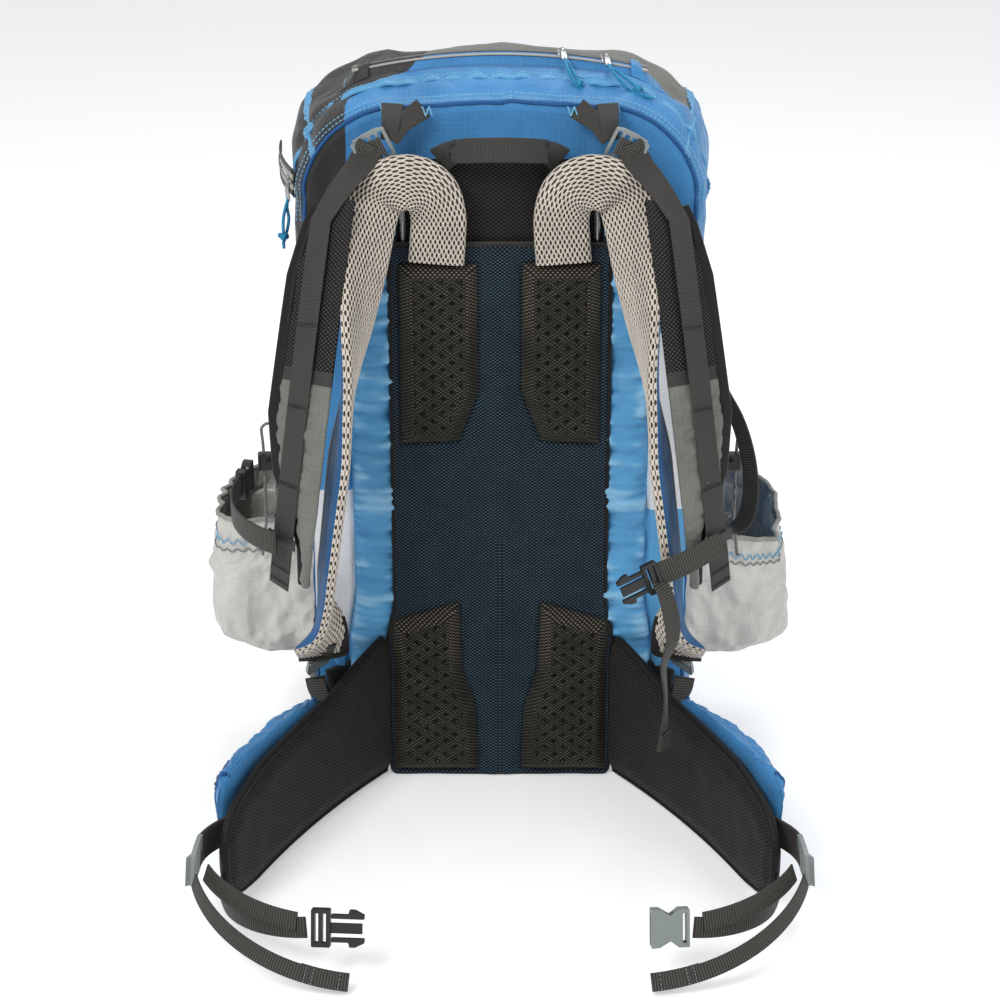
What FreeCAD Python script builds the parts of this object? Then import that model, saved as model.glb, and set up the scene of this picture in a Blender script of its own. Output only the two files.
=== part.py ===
"""Framed hiking daypack, in millimetres, drawn as a parametric document.

+Z is up, +X is the wearer's left and -Y is the side the wearer stands on. The origin is the centre of the
flat base. Every piece gets its sizes from the cells of the Dimensions sheet.
"""

import FreeCAD, Part
import math
import os
import re

import Sketcher
from FreeCAD import Placement, Rotation, Vector

LEFT, RIGHT = 1, -1
SIDES = {LEFT: "left", RIGHT: "right"}
DEPTH = Vector(0, 1, 0)
FORWARD = Vector(0, -1, 0)
UP = Vector(0, 0, 1)

CELLS = {
    # Bag body: four upright outlines, from the wearer's side to the far side.
    "wall": 2.0, "base_centre": 82.0,
    "rear_depth": 14.0, "rear_half": 150.0, "rear_low": -0.4, "rear_top": 568.0,
    "rear_low_round": 90.0, "rear_top_round": 70.0, "rear_crown": 700.0,
    "near_depth": 60.0, "near_half": 166.0, "near_low": -0.4, "near_top": 590.0,
    "near_low_round": 100.0, "near_top_round": 92.0, "near_crown": 560.0,
    "far_depth": 150.0, "far_half": 174.0, "far_low": -0.4, "far_top": 592.0,
    "far_low_round": 105.0, "far_top_round": 98.0, "far_crown": 520.0,
    "front_depth": 222.0, "front_half": 128.0, "front_low": 66.0, "front_top": 556.0,
    "front_low_round": 70.0, "front_top_round": 80.0, "front_crown": 500.0,
    "seam_low": 100.0, "seam_high": 520.0,
    # Top opening and its zip.
    "slot_near": 58.0, "slot_far": 80.0, "slot_half": 112.0, "zip_width": 19.0, "zip_thick": 2.4,
    "zip_drop": 11.0, "zip_half": 104.0, "zip_rise": 592.0,
    "slider_width": 9.0, "slider_length": 12.0, "slider_high": 5.0, "slider_gap": 0.4,
    "tab_length": 16.0, "tab_width": 5.0, "tab_thick": 1.4,
    "cord_radius": 1.0, "pull_length": 34.0,
    # Back panel, its four foam pads and the frame behind it.
    "back_top_half": 84.0, "back_low_half": 90.0, "back_top": 458.0,
    "back_flare_low": 120.0, "back_flare_high": 160.0, "mesh_thick": 3.0,
    "pad_rise": 9.0, "cover_thick": 2.0, "pad_clear": 0.3, "blister_margin": 2.4,
    "sheet_half": 92.0, "sheet_low": 8.0, "sheet_top": 445.0, "sheet_depth": 10.0, "sheet_thick": 1.8,
    "yoke_half": 86.0, "yoke_low": 447.0, "yoke_top": 528.0,
    "stay_radius": 2.7, "stay_depth": 6.5, "stay_half": 75.0, "stay_low": 12.0, "stay_high": 506.0,
    # Shoulder straps.
    "root_inner": 27.0, "root_outer": 68.0, "root_low": 462.0, "root_high": 514.0, "root_thick": 9.0,
    "strap_width": 52.0, "strap_thick": 11.0, "strap_sag": 75.0, "strap_roll": 76.0,
    "pocket_width": 50.0, "pocket_thick": 5.0, "pocket_top": 36.0, "pocket_low": -20.0,
    "pocket_out": 9.0, "pocket_across": 33.0, "pocket_lean": 35.0, "rail_out": 8.4, "rail_across": 33.8,
    "rail_width": 20.0, "rail_thick": 1.5, "rail_gap": 0.5, "rail_low": -22.0,
    "keeper_width": 27.0, "keeper_length": 9.0, "keeper_thick": 1.4, "keeper_angle": -13.0,
    # Webbing.
    "web_thick": 1.6, "waist_width": 21.0, "waist_sag": 14.0, "return_sag": 10.0,
    "tail_width": 17.0, "tail_sag": 26.0, "lower_width": 18.0, "lower_sag": 3.0,
    "lifter_width": 20.0, "lifter_sag": 2.0, "chest_width": 20.0, "chest_sag": 4.0,
    "chest_back_sag": 16.0, "chest_turn": 30.0,
    "chest_tail_sag": 6.0, "chest_tail_width": 16.0,
    "haul_width": 24.0, "haul_thick": 3.0, "haul_sag": 13.0,
    "side_width": 18.0, "side_thick": 4.0, "side_sag": 9.0,
    # Hip belt.
    "wing_sag": 10.0, "wing_high": 120.0, "wing_elbow": 98.0, "wing_waist": 92.0, "wing_tip": 70.0,
    "wing_thick": 13.0, "wing_low": 4.0, "elbow_at": 72.0, "waist_at": 180.0,
    "hip_high": 62.0, "hip_thick": 19.0, "hip_low": 40.0, "hip_start": -3.2, "hip_end": 6.2, "hip_gap": 0.6,
    "loop_width": 27.0, "loop_thick": 5.0, "loop_sag": 1.0,
    # Moulded hardware for 25 mm webbing; smaller pieces are scaled from it.
    "lock_half": 16.5, "lock_near": 14.0, "lock_far": 18.0, "lock_thick": 3.6, "slot_grip": 13.2,
    "lock_bar": 3.2, "lock_slot": 4.2, "lip_high": 3.0,
    "buckle_half": 17.0, "frame_long": 17.0, "buckle_thick": 7.0, "guide_half": 3.6, "guide_long": 28.0,
    "prong_long": 30.0, "prong_inner": 8.6, "prong_outer": 12.4, "barb_outer": 16.6, "prong_gap": 0.4,
    "female_long": 34.0, "female_thick": 10.5, "mouth_half": 13.6, "mouth_high": 6.6, "waist_half": 9.5,
    "small_scale": 0.72, "waist_scale": 0.82, "lifter_lock_scale": 0.82, "belt_lock_scale": 0.92,
    # Stretch side pockets with their cord locks, and the small zip on the wearer's right.
    "pouch_out": 240.0, "pouch_in": 174.8, "pouch_near": 22.0, "pouch_far": 158.0,
    "pouch_low": 76.0, "pouch_high": 226.0, "pouch_round": 44.0, "pouch_wall": 1.8,
    "lace_radius": 1.3, "lace_half": 4.6, "lace_low": 230.0, "lace_high": 298.0,
    "toggle_half": 9.5, "toggle_deep": 9.0, "toggle_high": 13.0, "toggle_at": 276.0, "lace_clear": 0.1,
    "plunger_radius": 2.6, "plunger_out": 5.0, "plunger_clear": 0.08,
    "side_zip_width": 10.0, "side_zip_thick": 1.6, "side_zip_sag": 4.0,
}

# Places on the wearer's left, but for the small zip on the right: across, behind the back panel's plane,
# and above ground.
SPOTS = {
    "side_zip_near": (-158, 30, 500), "side_zip_far": (-174, 122, 500),
    "haul_end": (44, -6, 537),
    "strap_low": (146, -28, 124), "strap_high": (96, -12, 503),
    "lifter_seam": (72, 6, 565), "lifter_foot": (78, -8, 545),
    "lower_web_low": (132, 6, 46), "lower_web_high": (149, -10, 84),
    "wing_root": (97, -2, 0), "wing_tip": (206, -226, 0),
    "loop_root": (219, -202, 58), "loop_end": (222, -217, 57),
    "belt_tip": (204, -246, 26), "belt_buckle": (139, -304, 40), "belt_return": (217, -246, 52),
    "tail_start": (225, -254, 48), "tail_end": (108, -330, 9), "belt_lock": (225, -234, 55),
    "lace": (184, 12, 0), "compression_high": (172, -8, 335), "compression_low": (187, -10, 243),
}

# Outlines of the wearer's left foam pads, across and above ground.
UPPER_PAD = [(19, 442), (76, 442), (76, 298), (34, 300), (19, 340)]
LUMBAR_PAD = [(35, 155), (86, 140), (86, 8), (20, 8), (22, 62), (33, 98)]

doc = FreeCAD.newDocument("daypack")
sheet = doc.addObject("Spreadsheet::Sheet", "Dimensions")
parts = {}


def fill_sheet():
    for row, (alias, number) in enumerate(CELLS.items(), start=1):
        sheet.set(f"A{row}", alias)
        sheet.set(f"B{row}", str(number))
        sheet.setAlias(f"B{row}", alias)
    doc.recompute()


def formula(text):
    """Turns a formula of bare cell names into one the expression engine reads."""
    def cell(found):
        word = found.group()
        return f"Dimensions.{word}" if word in CELLS else word

    return re.sub(r"[a-z_]+", cell, str(text))


def value(text):
    """The present value of a formula."""
    found = sheet.evalExpression(formula(text))
    return float(getattr(found, "Value", found))


def bind(thing, prop, text):
    thing.setExpression(prop, formula(text))


def at(across, depth, high):
    """A point given across the pack, behind the plane of the back panel, and above the ground."""
    return Vector(across, depth - CELLS["base_centre"], high)


def spot_of(name, side=LEFT):
    """A named place, on either side of the pack."""
    across, depth, high = SPOTS[name]
    return at(side * across, depth, high)


def keep(name, thing):
    thing.Label = name
    parts[name] = thing
    return thing


# ---------------------------------------------------------------- sketches and features


def new_sketch(owner, plane, lift="0"):
    """A sketch on one of the body's own origin planes, raised by a formula."""
    sketch = owner.newObject("Sketcher::SketchObject", "Sketch")
    found = next(f for f in owner.Origin.OriginFeatures if f.Role == plane)
    sketch.AttachmentSupport = [(found, "")]
    sketch.MapMode = "FlatFace"
    if str(lift) != "0":
        bind(sketch, "AttachmentOffset.Base.z", lift)
    return sketch


def pin(sketch, geometry, end, across, up):
    """Fixes a point of the sketch to two formulas."""
    for kind, text in (("DistanceX", across), ("DistanceY", up)):
        index = sketch.addConstraint(Sketcher.Constraint(kind, -1, 1, geometry, end, value(text)))
        bind(sketch, f"Constraints[{index}]", text)


def polygon(sketch, corners):
    """A closed outline of straight edges whose corners are pairs of formulas."""
    first = sketch.GeometryCount
    count = len(corners)
    points = [Vector(value(x), value(y), 0) for x, y in corners]
    for i in range(count):
        sketch.addGeometry(Part.LineSegment(points[i], points[(i + 1) % count]))
    for i in range(count):
        sketch.addConstraint(Sketcher.Constraint("Coincident", first + i, 2, first + (i + 1) % count, 1))
    for i, (x, y) in enumerate(corners):
        pin(sketch, first + i, 1, x, y)


def rectangle(sketch, x0, x1, y0, y1):
    polygon(sketch, [(x0, y0), (x1, y0), (x1, y1), (x0, y1)])


def circle(sketch, x, y, radius):
    index = sketch.addGeometry(Part.Circle(Vector(value(x), value(y), 0), Vector(0, 0, 1), value(radius)))
    pin(sketch, index, 3, x, y)
    size = sketch.addConstraint(Sketcher.Constraint("Radius", index, value(radius)))
    bind(sketch, f"Constraints[{size}]", radius)


def crowned_outline(name, inset="0", shift="0"):
    """An upright outline of the bag: flat foot, round corners and a crowned top, tangent to each other."""
    sketch = doc.addObject("Sketcher::SketchObject", name)
    sketch.Placement = Placement(at(0, value(f"{name}_depth + {shift}"), 0), Rotation(Vector(1, 0, 0), 90))
    bind(sketch, "Placement.Base.y", f"{name}_depth + {shift} - base_centre")
    half, low, top = f"{name}_half - {inset}", f"{name}_low + {inset}", f"{name}_top - {inset}"
    low_r, top_r, crown = (f"{name}_{kind} - {inset}" for kind in ("low_round", "top_round", "crown"))
    a, b, t, rb, rt, rc = (value(text) for text in (half, low, top, low_r, top_r, crown))
    hub = t - rc
    corner = hub + math.sqrt((rc - rt) ** 2 - (a - rt) ** 2)
    lean = math.atan2(corner - hub, a - rt)
    normal = Vector(0, 0, 1)

    def arc(x, y, radius, start, end):
        return Part.ArcOfCircle(Part.Circle(Vector(x, y, 0), normal, radius), start, end)

    pieces = [
        Part.LineSegment(Vector(-a + rb, b, 0), Vector(a - rb, b, 0)),
        arc(a - rb, b + rb, rb, -math.pi / 2, 0),
        Part.LineSegment(Vector(a, b + rb, 0), Vector(a, corner, 0)),
        arc(a - rt, corner, rt, 0, lean),
        arc(0, hub, rc, lean, math.pi - lean),
        arc(rt - a, corner, rt, math.pi - lean, math.pi),
        Part.LineSegment(Vector(-a, corner, 0), Vector(-a, b + rb, 0)),
        arc(rb - a, b + rb, rb, math.pi, 1.5 * math.pi),
    ]
    for piece in pieces:
        sketch.addGeometry(piece)
    for i in range(len(pieces)):
        sketch.addConstraint(Sketcher.Constraint("Tangent", i, 2, (i + 1) % len(pieces), 1))
    for line in (2, 6):
        sketch.addConstraint(Sketcher.Constraint("Vertical", line))
    sketch.addConstraint(Sketcher.Constraint("Horizontal", 0))
    for index, text in ((1, low_r), (7, low_r), (3, top_r), (5, top_r), (4, crown)):
        size = sketch.addConstraint(Sketcher.Constraint("Radius", index, value(text)))
        bind(sketch, f"Constraints[{size}]", text)
    places = (
        ("DistanceX", 2, 1, half), ("DistanceX", 6, 1, f"-({half})"), ("DistanceY", 0, 1, low),
        ("DistanceX", 4, 3, "0"), ("DistanceY", 4, 3, f"{top} - ({crown})"),
    )
    for kind, geometry, end, text in places:
        index = sketch.addConstraint(Sketcher.Constraint(kind, -1, 1, geometry, end, value(text)))
        bind(sketch, f"Constraints[{index}]", text)
    return sketch


def pad(body, sketch, length, midplane=False, reverse=False):
    feature = body.newObject("PartDesign::Pad", "Pad")
    feature.Profile = sketch
    feature.Midplane = midplane
    feature.Reversed = reverse
    bind(feature, "Length", length)
    doc.recompute()
    return feature


def pocket(body, sketch, length=None, midplane=False, reverse=False):
    """Cuts the sketch out of the body, and stops if nothing was cut."""
    before = body.Shape.Volume
    feature = body.newObject("PartDesign::Pocket", "Pocket")
    feature.Profile = sketch
    feature.Midplane = midplane
    feature.Reversed = reverse
    if length is None:
        feature.Type = "ThroughAll"
    else:
        bind(feature, "Length", length)
    doc.recompute()
    if body.Shape.Volume > before - 0.01:
        raise RuntimeError(f"a pocket of {body.Name} cut nothing")
    return feature


def turn(body, sketch, angle):
    """Turns the sketch about its own upright axis, half of the angle to each side."""
    feature = body.newObject("PartDesign::Revolution", "Revolution")
    feature.Profile = sketch
    feature.ReferenceAxis = (sketch, ["V_Axis"])
    feature.Midplane = True
    bind(feature, "Angle", angle)
    doc.recompute()
    return feature


def round_edges(body, radius, wanted):
    """Fillets the edges that wanted() picks."""
    base = body.Tip
    names = [f"Edge{i}" for i, edge in enumerate(base.Shape.Edges, start=1) if wanted(edge)]
    feature = body.newObject("PartDesign::Fillet", "Fillet")
    feature.Base = (base, names)
    bind(feature, "Radius", radius)
    doc.recompute()
    return feature


def upright(edge):
    """True for a straight edge along the body's own Z."""
    if not isinstance(edge.Curve, Part.Line):
        return False
    return abs(abs(edge.Curve.Direction.z) - 1) < 1e-6


def new_body(name):
    return keep(name, doc.addObject("PartDesign::Body", name))


def box(name, x0, x1, y0, y1, z0, z1):
    """A block given by the formulas of its six sides. Depths are measured from the back panel's plane."""
    block = doc.addObject("Part::Box", name)
    for prop, low, high in (("Length", x0, x1), ("Width", y0, y1), ("Height", z0, z1)):
        bind(block, prop, f"({high}) - ({low})")
    bind(block, "Placement.Base.x", x0)
    bind(block, "Placement.Base.y", f"({y0}) - base_centre")
    bind(block, "Placement.Base.z", z0)
    return block


def boolean(kind, name, base, tool):
    result = doc.addObject(f"Part::{kind}", name)
    result.Base = base
    result.Tool = tool
    return result


def group(name, members):
    """Several solids that are one node."""
    compound = doc.addObject("Part::Compound", name)
    compound.Links = members
    return keep(name, compound)


# ---------------------------------------------------------------- placing curved and moulded pieces


def facing(position, along, outward):
    """Puts a body's +Y along the webbing and its +Z outward."""
    y = Vector(along).normalize()
    z = Vector(outward)
    z = (z - y * z.dot(y)).normalize()
    return Placement(position, Rotation(y.cross(z), y, z, "XYZ"))


class Arc:
    """A circular arc between two points that bulges by a cell's amount towards a direction.

    Its own frame has +X from the hub to the middle of the arc, +Y from start to end, and +Z across the strip.
    """

    def __init__(self, start, end, bulge, sag):
        chord = round((end - start).Length, 4)
        self.radius = f"({chord} ^ 2 / (8 * {sag}) + {sag} / 2)"
        self.sweep = f"(2 * asin({chord} / (2 * {self.radius})))"
        along = (end - start).normalize()
        out = (bulge - along * bulge.dot(along)).normalize()
        radius = value(self.radius)
        self.hub = (start + end) * 0.5 - out * (radius - value(sag))
        self.turned = Rotation(out, along, out.cross(along), "XYZ")

    def placement(self, angle=0.0):
        return Placement(self.hub, self.turned * Rotation(UP, angle))

    def point(self, angle, out=0.0, across=0.0):
        """A point at an angle along the arc, so far outside it and so far across the strip."""
        turned = Rotation(UP, angle).multVec(Vector(value(self.radius) + out, 0, 0))
        return self.hub + self.turned.multVec(turned + UP * across)

    def tangent(self, angle):
        return self.turned.multVec(Rotation(UP, angle).multVec(DEPTH))

    def outward(self, angle):
        return self.turned.multVec(Rotation(UP, angle).multVec(Vector(1, 0, 0)))

    def across(self):
        return self.turned.multVec(UP)


def arc_strip(name, arc, corners, low=None, high=None):
    """A strip along an arc. The corners are pairs of formulas: outside the arc, and across the strip."""
    body = doc.addObject("PartDesign::Body", name)
    sketch = new_sketch(body, "XZ_Plane")
    polygon(sketch, [(f"{arc.radius} + ({out})", across) for out, across in corners])
    if low is None:
        turn(body, sketch, arc.sweep)
        body.Placement = arc.placement()
    else:
        turn(body, sketch, f"({high}) - ({low})")
        body.Placement = arc.placement((value(low) + value(high)) / 2)
    return body


def flat_strip(name, start, end, bulge, sag, width, thick):
    """Webbing that curves only in the plane of its bulge."""
    arc = Arc(start, end, bulge, sag)
    half, edge = f"({thick}) / 2", f"({width}) / 2"
    corners = [(f"-{half}", f"-{edge}"), (half, f"-{edge}"), (half, edge), (f"-{half}", edge)]
    return arc_strip(name, arc, corners)


# ---------------------------------------------------------------- bag


def bag_shell():
    """The sewn bag as one thin shell, before it is parted along its seams."""
    names = ("rear", "near", "far", "front")
    solids = []
    for kind, inset in (("outer", "0"), ("inner", "wall")):
        loft = doc.addObject("Part::Loft", f"bag_{kind}")
        ends = {"rear": inset, "front": f"-{inset}"}
        loft.Sections = [crowned_outline(name, inset, ends.get(name, "0")) for name in names]
        loft.Solid = True
        loft.Ruled = True
        solids.append(loft)
    doc.recompute()
    return boolean("Cut", "bag_shell", *solids)


def bag_panels():
    """Parts the shell along its seams, which are flat planes, and trims its base flat at height 0."""
    shell = bag_shell()
    back, face = "rear_depth + wall", "front_depth - wall"
    wide, tall = "far_half + 10", "far_top + 10"
    middle = "(slot_near + slot_far) / 2"
    slot = box("zip_slot", "-slot_half", "slot_half", "slot_near", "slot_far", "seam_high + 1", tall)
    regions = {
        "rear_panel": (f"-({wide})", wide, "0", back, "0", tall),
        "front_panel": (f"-({wide})", wide, face, "front_depth + 10", "0", tall),
        "bottom_panel": (f"-({wide})", wide, back, face, "0", "seam_low"),
        "right_side_panel": (f"-({wide})", "0", back, face, "seam_low", "seam_high"),
        "left_side_panel": ("0", wide, back, face, "seam_low", "seam_high"),
    }
    for name, sides in regions.items():
        keep(name, boolean("Common", name, shell, box(f"{name}_region", *sides)))
    for name, low, high in (("top_rear_panel", back, middle), ("top_front_panel", middle, face)):
        region = box(f"{name}_region", f"-({wide})", wide, low, high, "seam_high", tall)
        half = boolean("Common", f"{name}_uncut", shell, region)
        keep(name, boolean("Cut", name, half, slot))


def zip_line():
    """The crowned line of the top zip, which its sliders run along."""
    depth = value("(slot_near + slot_far) / 2")
    half, end = CELLS["zip_half"], value("zip_rise - zip_drop")
    return Arc(at(-half, depth, end), at(half, depth, end), UP, "zip_drop")


def top_zip(arc):
    half, edge = "zip_thick / 2", "zip_width / 2"
    corners = [(f"-{half}", f"-{edge}"), (half, f"-{edge}"), (half, edge), (f"-{half}", edge)]
    keep("top_zip_tape", arc_strip("top_zip_tape", arc, corners))


def zip_slider(name, placement, fall):
    """A slider with its pull tab and a cord that falls from the tab. Its own +Z is up off the tape."""
    body = doc.addObject("PartDesign::Body", f"{name}_body")
    sketch = new_sketch(body, "XY_Plane", "slider_gap")
    half, length = "slider_width / 2", "slider_length / 2"
    polygon(sketch, [
        (f"-{half}", f"-{length}"), (half, f"-{length}"),
        (f"{half} * 0.7", length), (f"-{half} * 0.7", length),
    ])
    pad(body, sketch, "slider_high - slider_gap")
    sketch = new_sketch(body, "XY_Plane", "slider_high - tab_thick")
    rectangle(sketch, "-tab_width / 2", "tab_width / 2", "-tab_length", "0")
    pad(body, sketch, "tab_thick")
    sketch = new_sketch(body, "YZ_Plane")
    reach = "slider_length / 2 - 3"
    rectangle(sketch, f"-({reach})", reach, "slider_gap + 1.4", "slider_high - tab_thick")
    pocket(body, sketch, "slider_width", midplane=True)
    body.Placement = placement
    tab = Vector(0, -CELLS["tab_length"] - CELLS["cord_radius"] - 0.4, CELLS["slider_high"])
    start = placement.multVec(tab)
    cord = doc.addObject("Part::Cylinder", f"{name}_cord")
    bind(cord, "Radius", "cord_radius")
    bind(cord, "Height", "pull_length")
    cord.Placement = Placement(start, Rotation(UP, fall))
    group(name, [body, cord])


def top_sliders(arc):
    """Two sliders parked together at the wearer's left end, each with a cord that falls over the back."""
    for name, angle, lean in (("left_zip_slider", 9.4, 0.3), ("right_zip_slider", 5.5, -0.1)):
        spot = arc.point(angle, value("zip_thick / 2"))
        zip_slider(name, facing(spot, DEPTH, arc.outward(angle)), Vector(lean, -0.72, -0.58))


def side_zip():
    """The short zip of the pocket on the wearer's right, level along the side panel."""
    start, end = spot_of("side_zip_near"), spot_of("side_zip_far")
    keep("side_zip_tape", flat_strip(
        "side_zip_tape", start, end, Vector(-1, 0, 0), "side_zip_sag", "side_zip_width", "side_zip_thick"))
    along = (end - start).normalize()
    out = Vector(-along.y, along.x, 0)
    spot = start + along * 14 + out * value("side_zip_sag + side_zip_thick / 2")
    zip_slider("side_zip_slider", facing(spot, UP, out), Vector(0, 0, -1))


# ---------------------------------------------------------------- back panel and frame


def pad_outlines(margin):
    """The four foam pads, grown by a margin: two beside the shoulder blades and two beside the spine."""
    outlines = []
    for side in (LEFT, RIGHT):
        for shape in (UPPER_PAD, LUMBAR_PAD):
            middle = sum(x for x, _ in shape) / len(shape)
            heart = sum(y for _, y in shape) / len(shape)
            corners = []
            for x, y in shape:
                across = math.copysign(1, x - middle) * side
                rise = math.copysign(1, y - heart)
                corners.append((f"{side * x} + ({margin}) * {across}", f"{y} + ({margin}) * {rise}"))
            outlines.append(corners[::side])
    return outlines


def back_panel():
    """The spacer mesh panel, with a hollow blister over each foam pad."""
    body = new_body("mesh_back_panel")
    sketch = new_sketch(body, "XZ_Plane")
    polygon(sketch, [
        ("-back_low_half", "0"), ("back_low_half", "0"), ("back_low_half", "back_flare_low"),
        ("back_top_half", "back_flare_high"), ("back_top_half", "back_top"), ("-back_top_half", "back_top"),
        ("-back_top_half", "back_flare_high"), ("-back_low_half", "back_flare_low"),
    ])
    pad(body, sketch, "mesh_thick", reverse=True)
    for corners in pad_outlines("blister_margin"):
        sketch = new_sketch(body, "XZ_Plane")
        polygon(sketch, corners)
        pad(body, sketch, "pad_rise + cover_thick")
    for corners in pad_outlines("pad_clear"):
        sketch = new_sketch(body, "XZ_Plane", "pad_rise + pad_clear")
        polygon(sketch, corners)
        pocket(body, sketch, "pad_rise + pad_clear + mesh_thick")
    body.Placement.Base = at(0, 0, 0)


def foam_pads():
    outlines = pad_outlines("0")
    for name, chosen in (("upper_back_pads", (0, 2)), ("lumbar_pads", (1, 3))):
        pads = []
        for index in chosen:
            body = doc.addObject("PartDesign::Body", f"{name}_{index}")
            sketch = new_sketch(body, "XZ_Plane", "pad_rise")
            polygon(sketch, outlines[index])
            pad(body, sketch, "pad_rise + mesh_thick - 0.2", reverse=True)
            body.Placement.Base = at(0, 0, 0)
            pads.append(body)
        group(name, pads)


def frame():
    """Plastic frame sheet, the two aluminium stays in front of it and the fabric yoke above it."""
    far = "sheet_depth + sheet_thick"
    for name, part in (("frame_sheet", "sheet"), ("yoke_panel", "yoke")):
        half = f"{part}_half"
        keep(name, box(name, f"-{half}", half, "sheet_depth", far, f"{part}_low", f"{part}_top"))
    stays = []
    for side in SIDES:
        rod = doc.addObject("Part::Cylinder", f"stay_{SIDES[side]}")
        bind(rod, "Radius", "stay_radius")
        bind(rod, "Height", "stay_high - stay_low")
        bind(rod, "Placement.Base.x", f"{side} * stay_half")
        bind(rod, "Placement.Base.y", "stay_depth - base_centre")
        bind(rod, "Placement.Base.z", "stay_low")
        stays.append(rod)
    group("frame_stays", stays)


def haul_loop():
    start, end = spot_of("haul_end", RIGHT), spot_of("haul_end")
    body = flat_strip("haul_loop", start, end, FORWARD, "haul_sag", "haul_width", "haul_thick")
    keep("haul_loop", body)


# ---------------------------------------------------------------- moulded hardware


def ladder_lock(name, placement, scale=1.0):
    """A ladder lock: frame, three bars and a raised lip. Webbing runs along its own Y."""
    body = new_body(name)
    half, grip = f"lock_half * {scale}", f"slot_grip * {scale}"
    near, far = f"lock_near * {scale}", f"lock_far * {scale}"
    bar, gap = f"lock_bar * {scale}", f"lock_slot * {scale}"
    sketch = new_sketch(body, "XY_Plane")
    polygon(sketch, [
        (f"-{half} * 0.86", f"-{near}"), (f"{half} * 0.86", f"-{near}"), (half, f"-{near} * 0.5"),
        (half, f"{far} * 0.35"), (f"{half} * 0.9", far), (f"-{half} * 0.9", far),
        (f"-{half}", f"{far} * 0.35"), (f"-{half}", f"-{near} * 0.5"),
    ])
    pad(body, sketch, f"lock_thick * {scale}", midplane=True)
    round_edges(body, f"1.1 * {scale}", upright)
    for start in (f"-{near} + {bar}", f"-{near} + {bar} * 2 + {gap}", f"-{near} + {bar} * 3 + {gap} * 2"):
        sketch = new_sketch(body, "XY_Plane")
        rectangle(sketch, f"-{grip}", grip, start, f"{start} + {gap}")
        pocket(body, sketch, midplane=True)
    sketch = new_sketch(body, "YZ_Plane")
    polygon(sketch, [
        (f"{far} - {bar} * 2", f"lock_thick * {scale} / 2 - 0.4"),
        (f"{far}", f"lock_thick * {scale} / 2 - 0.4"),
        (f"{far} + 2.5 * {scale}", f"lip_high * {scale} + lock_thick * {scale} / 2"),
        (f"{far} + 1.2 * {scale}", f"lip_high * {scale} + lock_thick * {scale} / 2"),
    ])
    pad(body, sketch, f"{half} * 1.7", midplane=True)
    body.Placement = placement
    return body


def male_frame(name, placement, scale=1.0, prongs=False):
    """The plug of a side-release buckle: webbing frame, centre guide, and the arms if one with it."""
    body = new_body(name)
    half, long = f"buckle_half * {scale}", f"frame_long * {scale}"
    thick = f"buckle_thick * {scale}"
    sketch = new_sketch(body, "XY_Plane")
    rectangle(sketch, f"-{half}", half, f"-{long}", "0")
    pad(body, sketch, thick, midplane=True)
    round_edges(body, f"1.4 * {scale}", upright)
    sketch = new_sketch(body, "XY_Plane")
    rectangle(sketch, "-guide_half", "guide_half", "-1", f"guide_long * {scale}")
    pad(body, sketch, f"{thick} * 0.5", midplane=True)
    if prongs:
        for side in (1, -1):
            sketch = new_sketch(body, "XY_Plane")
            polygon(sketch, prong_outline(side, scale, "-1"))
            pad(body, sketch, f"{thick} * 0.6", midplane=True)
    for low in (0.22, 0.62):
        sketch = new_sketch(body, "XY_Plane")
        near = f"-{long} * {low}"
        rectangle(sketch, f"-{half} * 0.78", f"{half} * 0.78", f"{near} - 3.2 * {scale}", near)
        pocket(body, sketch, midplane=True)
    body.Placement = placement
    return body


def prong_outline(side, scale, root):
    """A sprung arm with its barb, seen from above."""
    inner, outer = f"{side} * prong_inner * {scale}", f"{side} * prong_outer * {scale}"
    barb, tip = f"{side} * barb_outer * {scale}", f"prong_long * {scale}"
    corners = [
        (inner, root), (outer, root), (outer, f"{tip} * 0.52"), (barb, f"{tip} * 0.56"),
        (barb, f"{tip} * 0.72"), (outer, tip), (inner, tip),
    ]
    return corners[::side]


def prong(name, side, placement, scale):
    """One separate sprung arm of the waist buckle."""
    body = new_body(name)
    sketch = new_sketch(body, "XY_Plane")
    polygon(sketch, prong_outline(side, scale, "prong_gap"))
    pad(body, sketch, f"buckle_thick * 0.6 * {scale}", midplane=True)
    round_edges(body, "0.8", upright)
    body.Placement = placement
    return body


def female_body(name, placement, scale=1.0):
    """The socket: waisted sides, a mouth through the front and a webbing bar at the back."""
    body = new_body(name)
    half, long, mouth = f"buckle_half * {scale}", f"female_long * {scale}", f"mouth_half * {scale}"
    waist, thick = f"waist_half * {scale}", f"female_thick * {scale}"
    sketch = new_sketch(body, "XY_Plane")
    polygon(sketch, [
        (f"-{half}", "0"), (f"{half}", "0"), (half, f"{long} * 0.28"), (f"{waist} + 1.5", f"{long} * 0.5"),
        (half, f"{long} * 0.78"), (f"{half} * 1.02", long), (f"-{half} * 1.02", long),
        (f"-{half}", f"{long} * 0.78"), (f"-{waist} - 1.5", f"{long} * 0.5"), (f"-{half}", f"{long} * 0.28"),
    ])
    pad(body, sketch, thick, midplane=True)
    round_edges(body, f"1.2 * {scale}", upright)
    sketch = new_sketch(body, "XZ_Plane", f"-{long}")
    rectangle(sketch, f"-{mouth}", mouth, f"-mouth_high * {scale} / 2", f"mouth_high * {scale} / 2")
    pocket(body, sketch, f"{long} * 0.72", reverse=True)
    sketch = new_sketch(body, "XY_Plane")
    rectangle(sketch, f"-{half} * 0.78", f"{half} * 0.78", f"{long} * 0.08", f"{long} * 0.08 + 3.4 * {scale}")
    pocket(body, sketch, midplane=True)
    body.Placement = placement
    return body


# ---------------------------------------------------------------- shoulder straps


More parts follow.
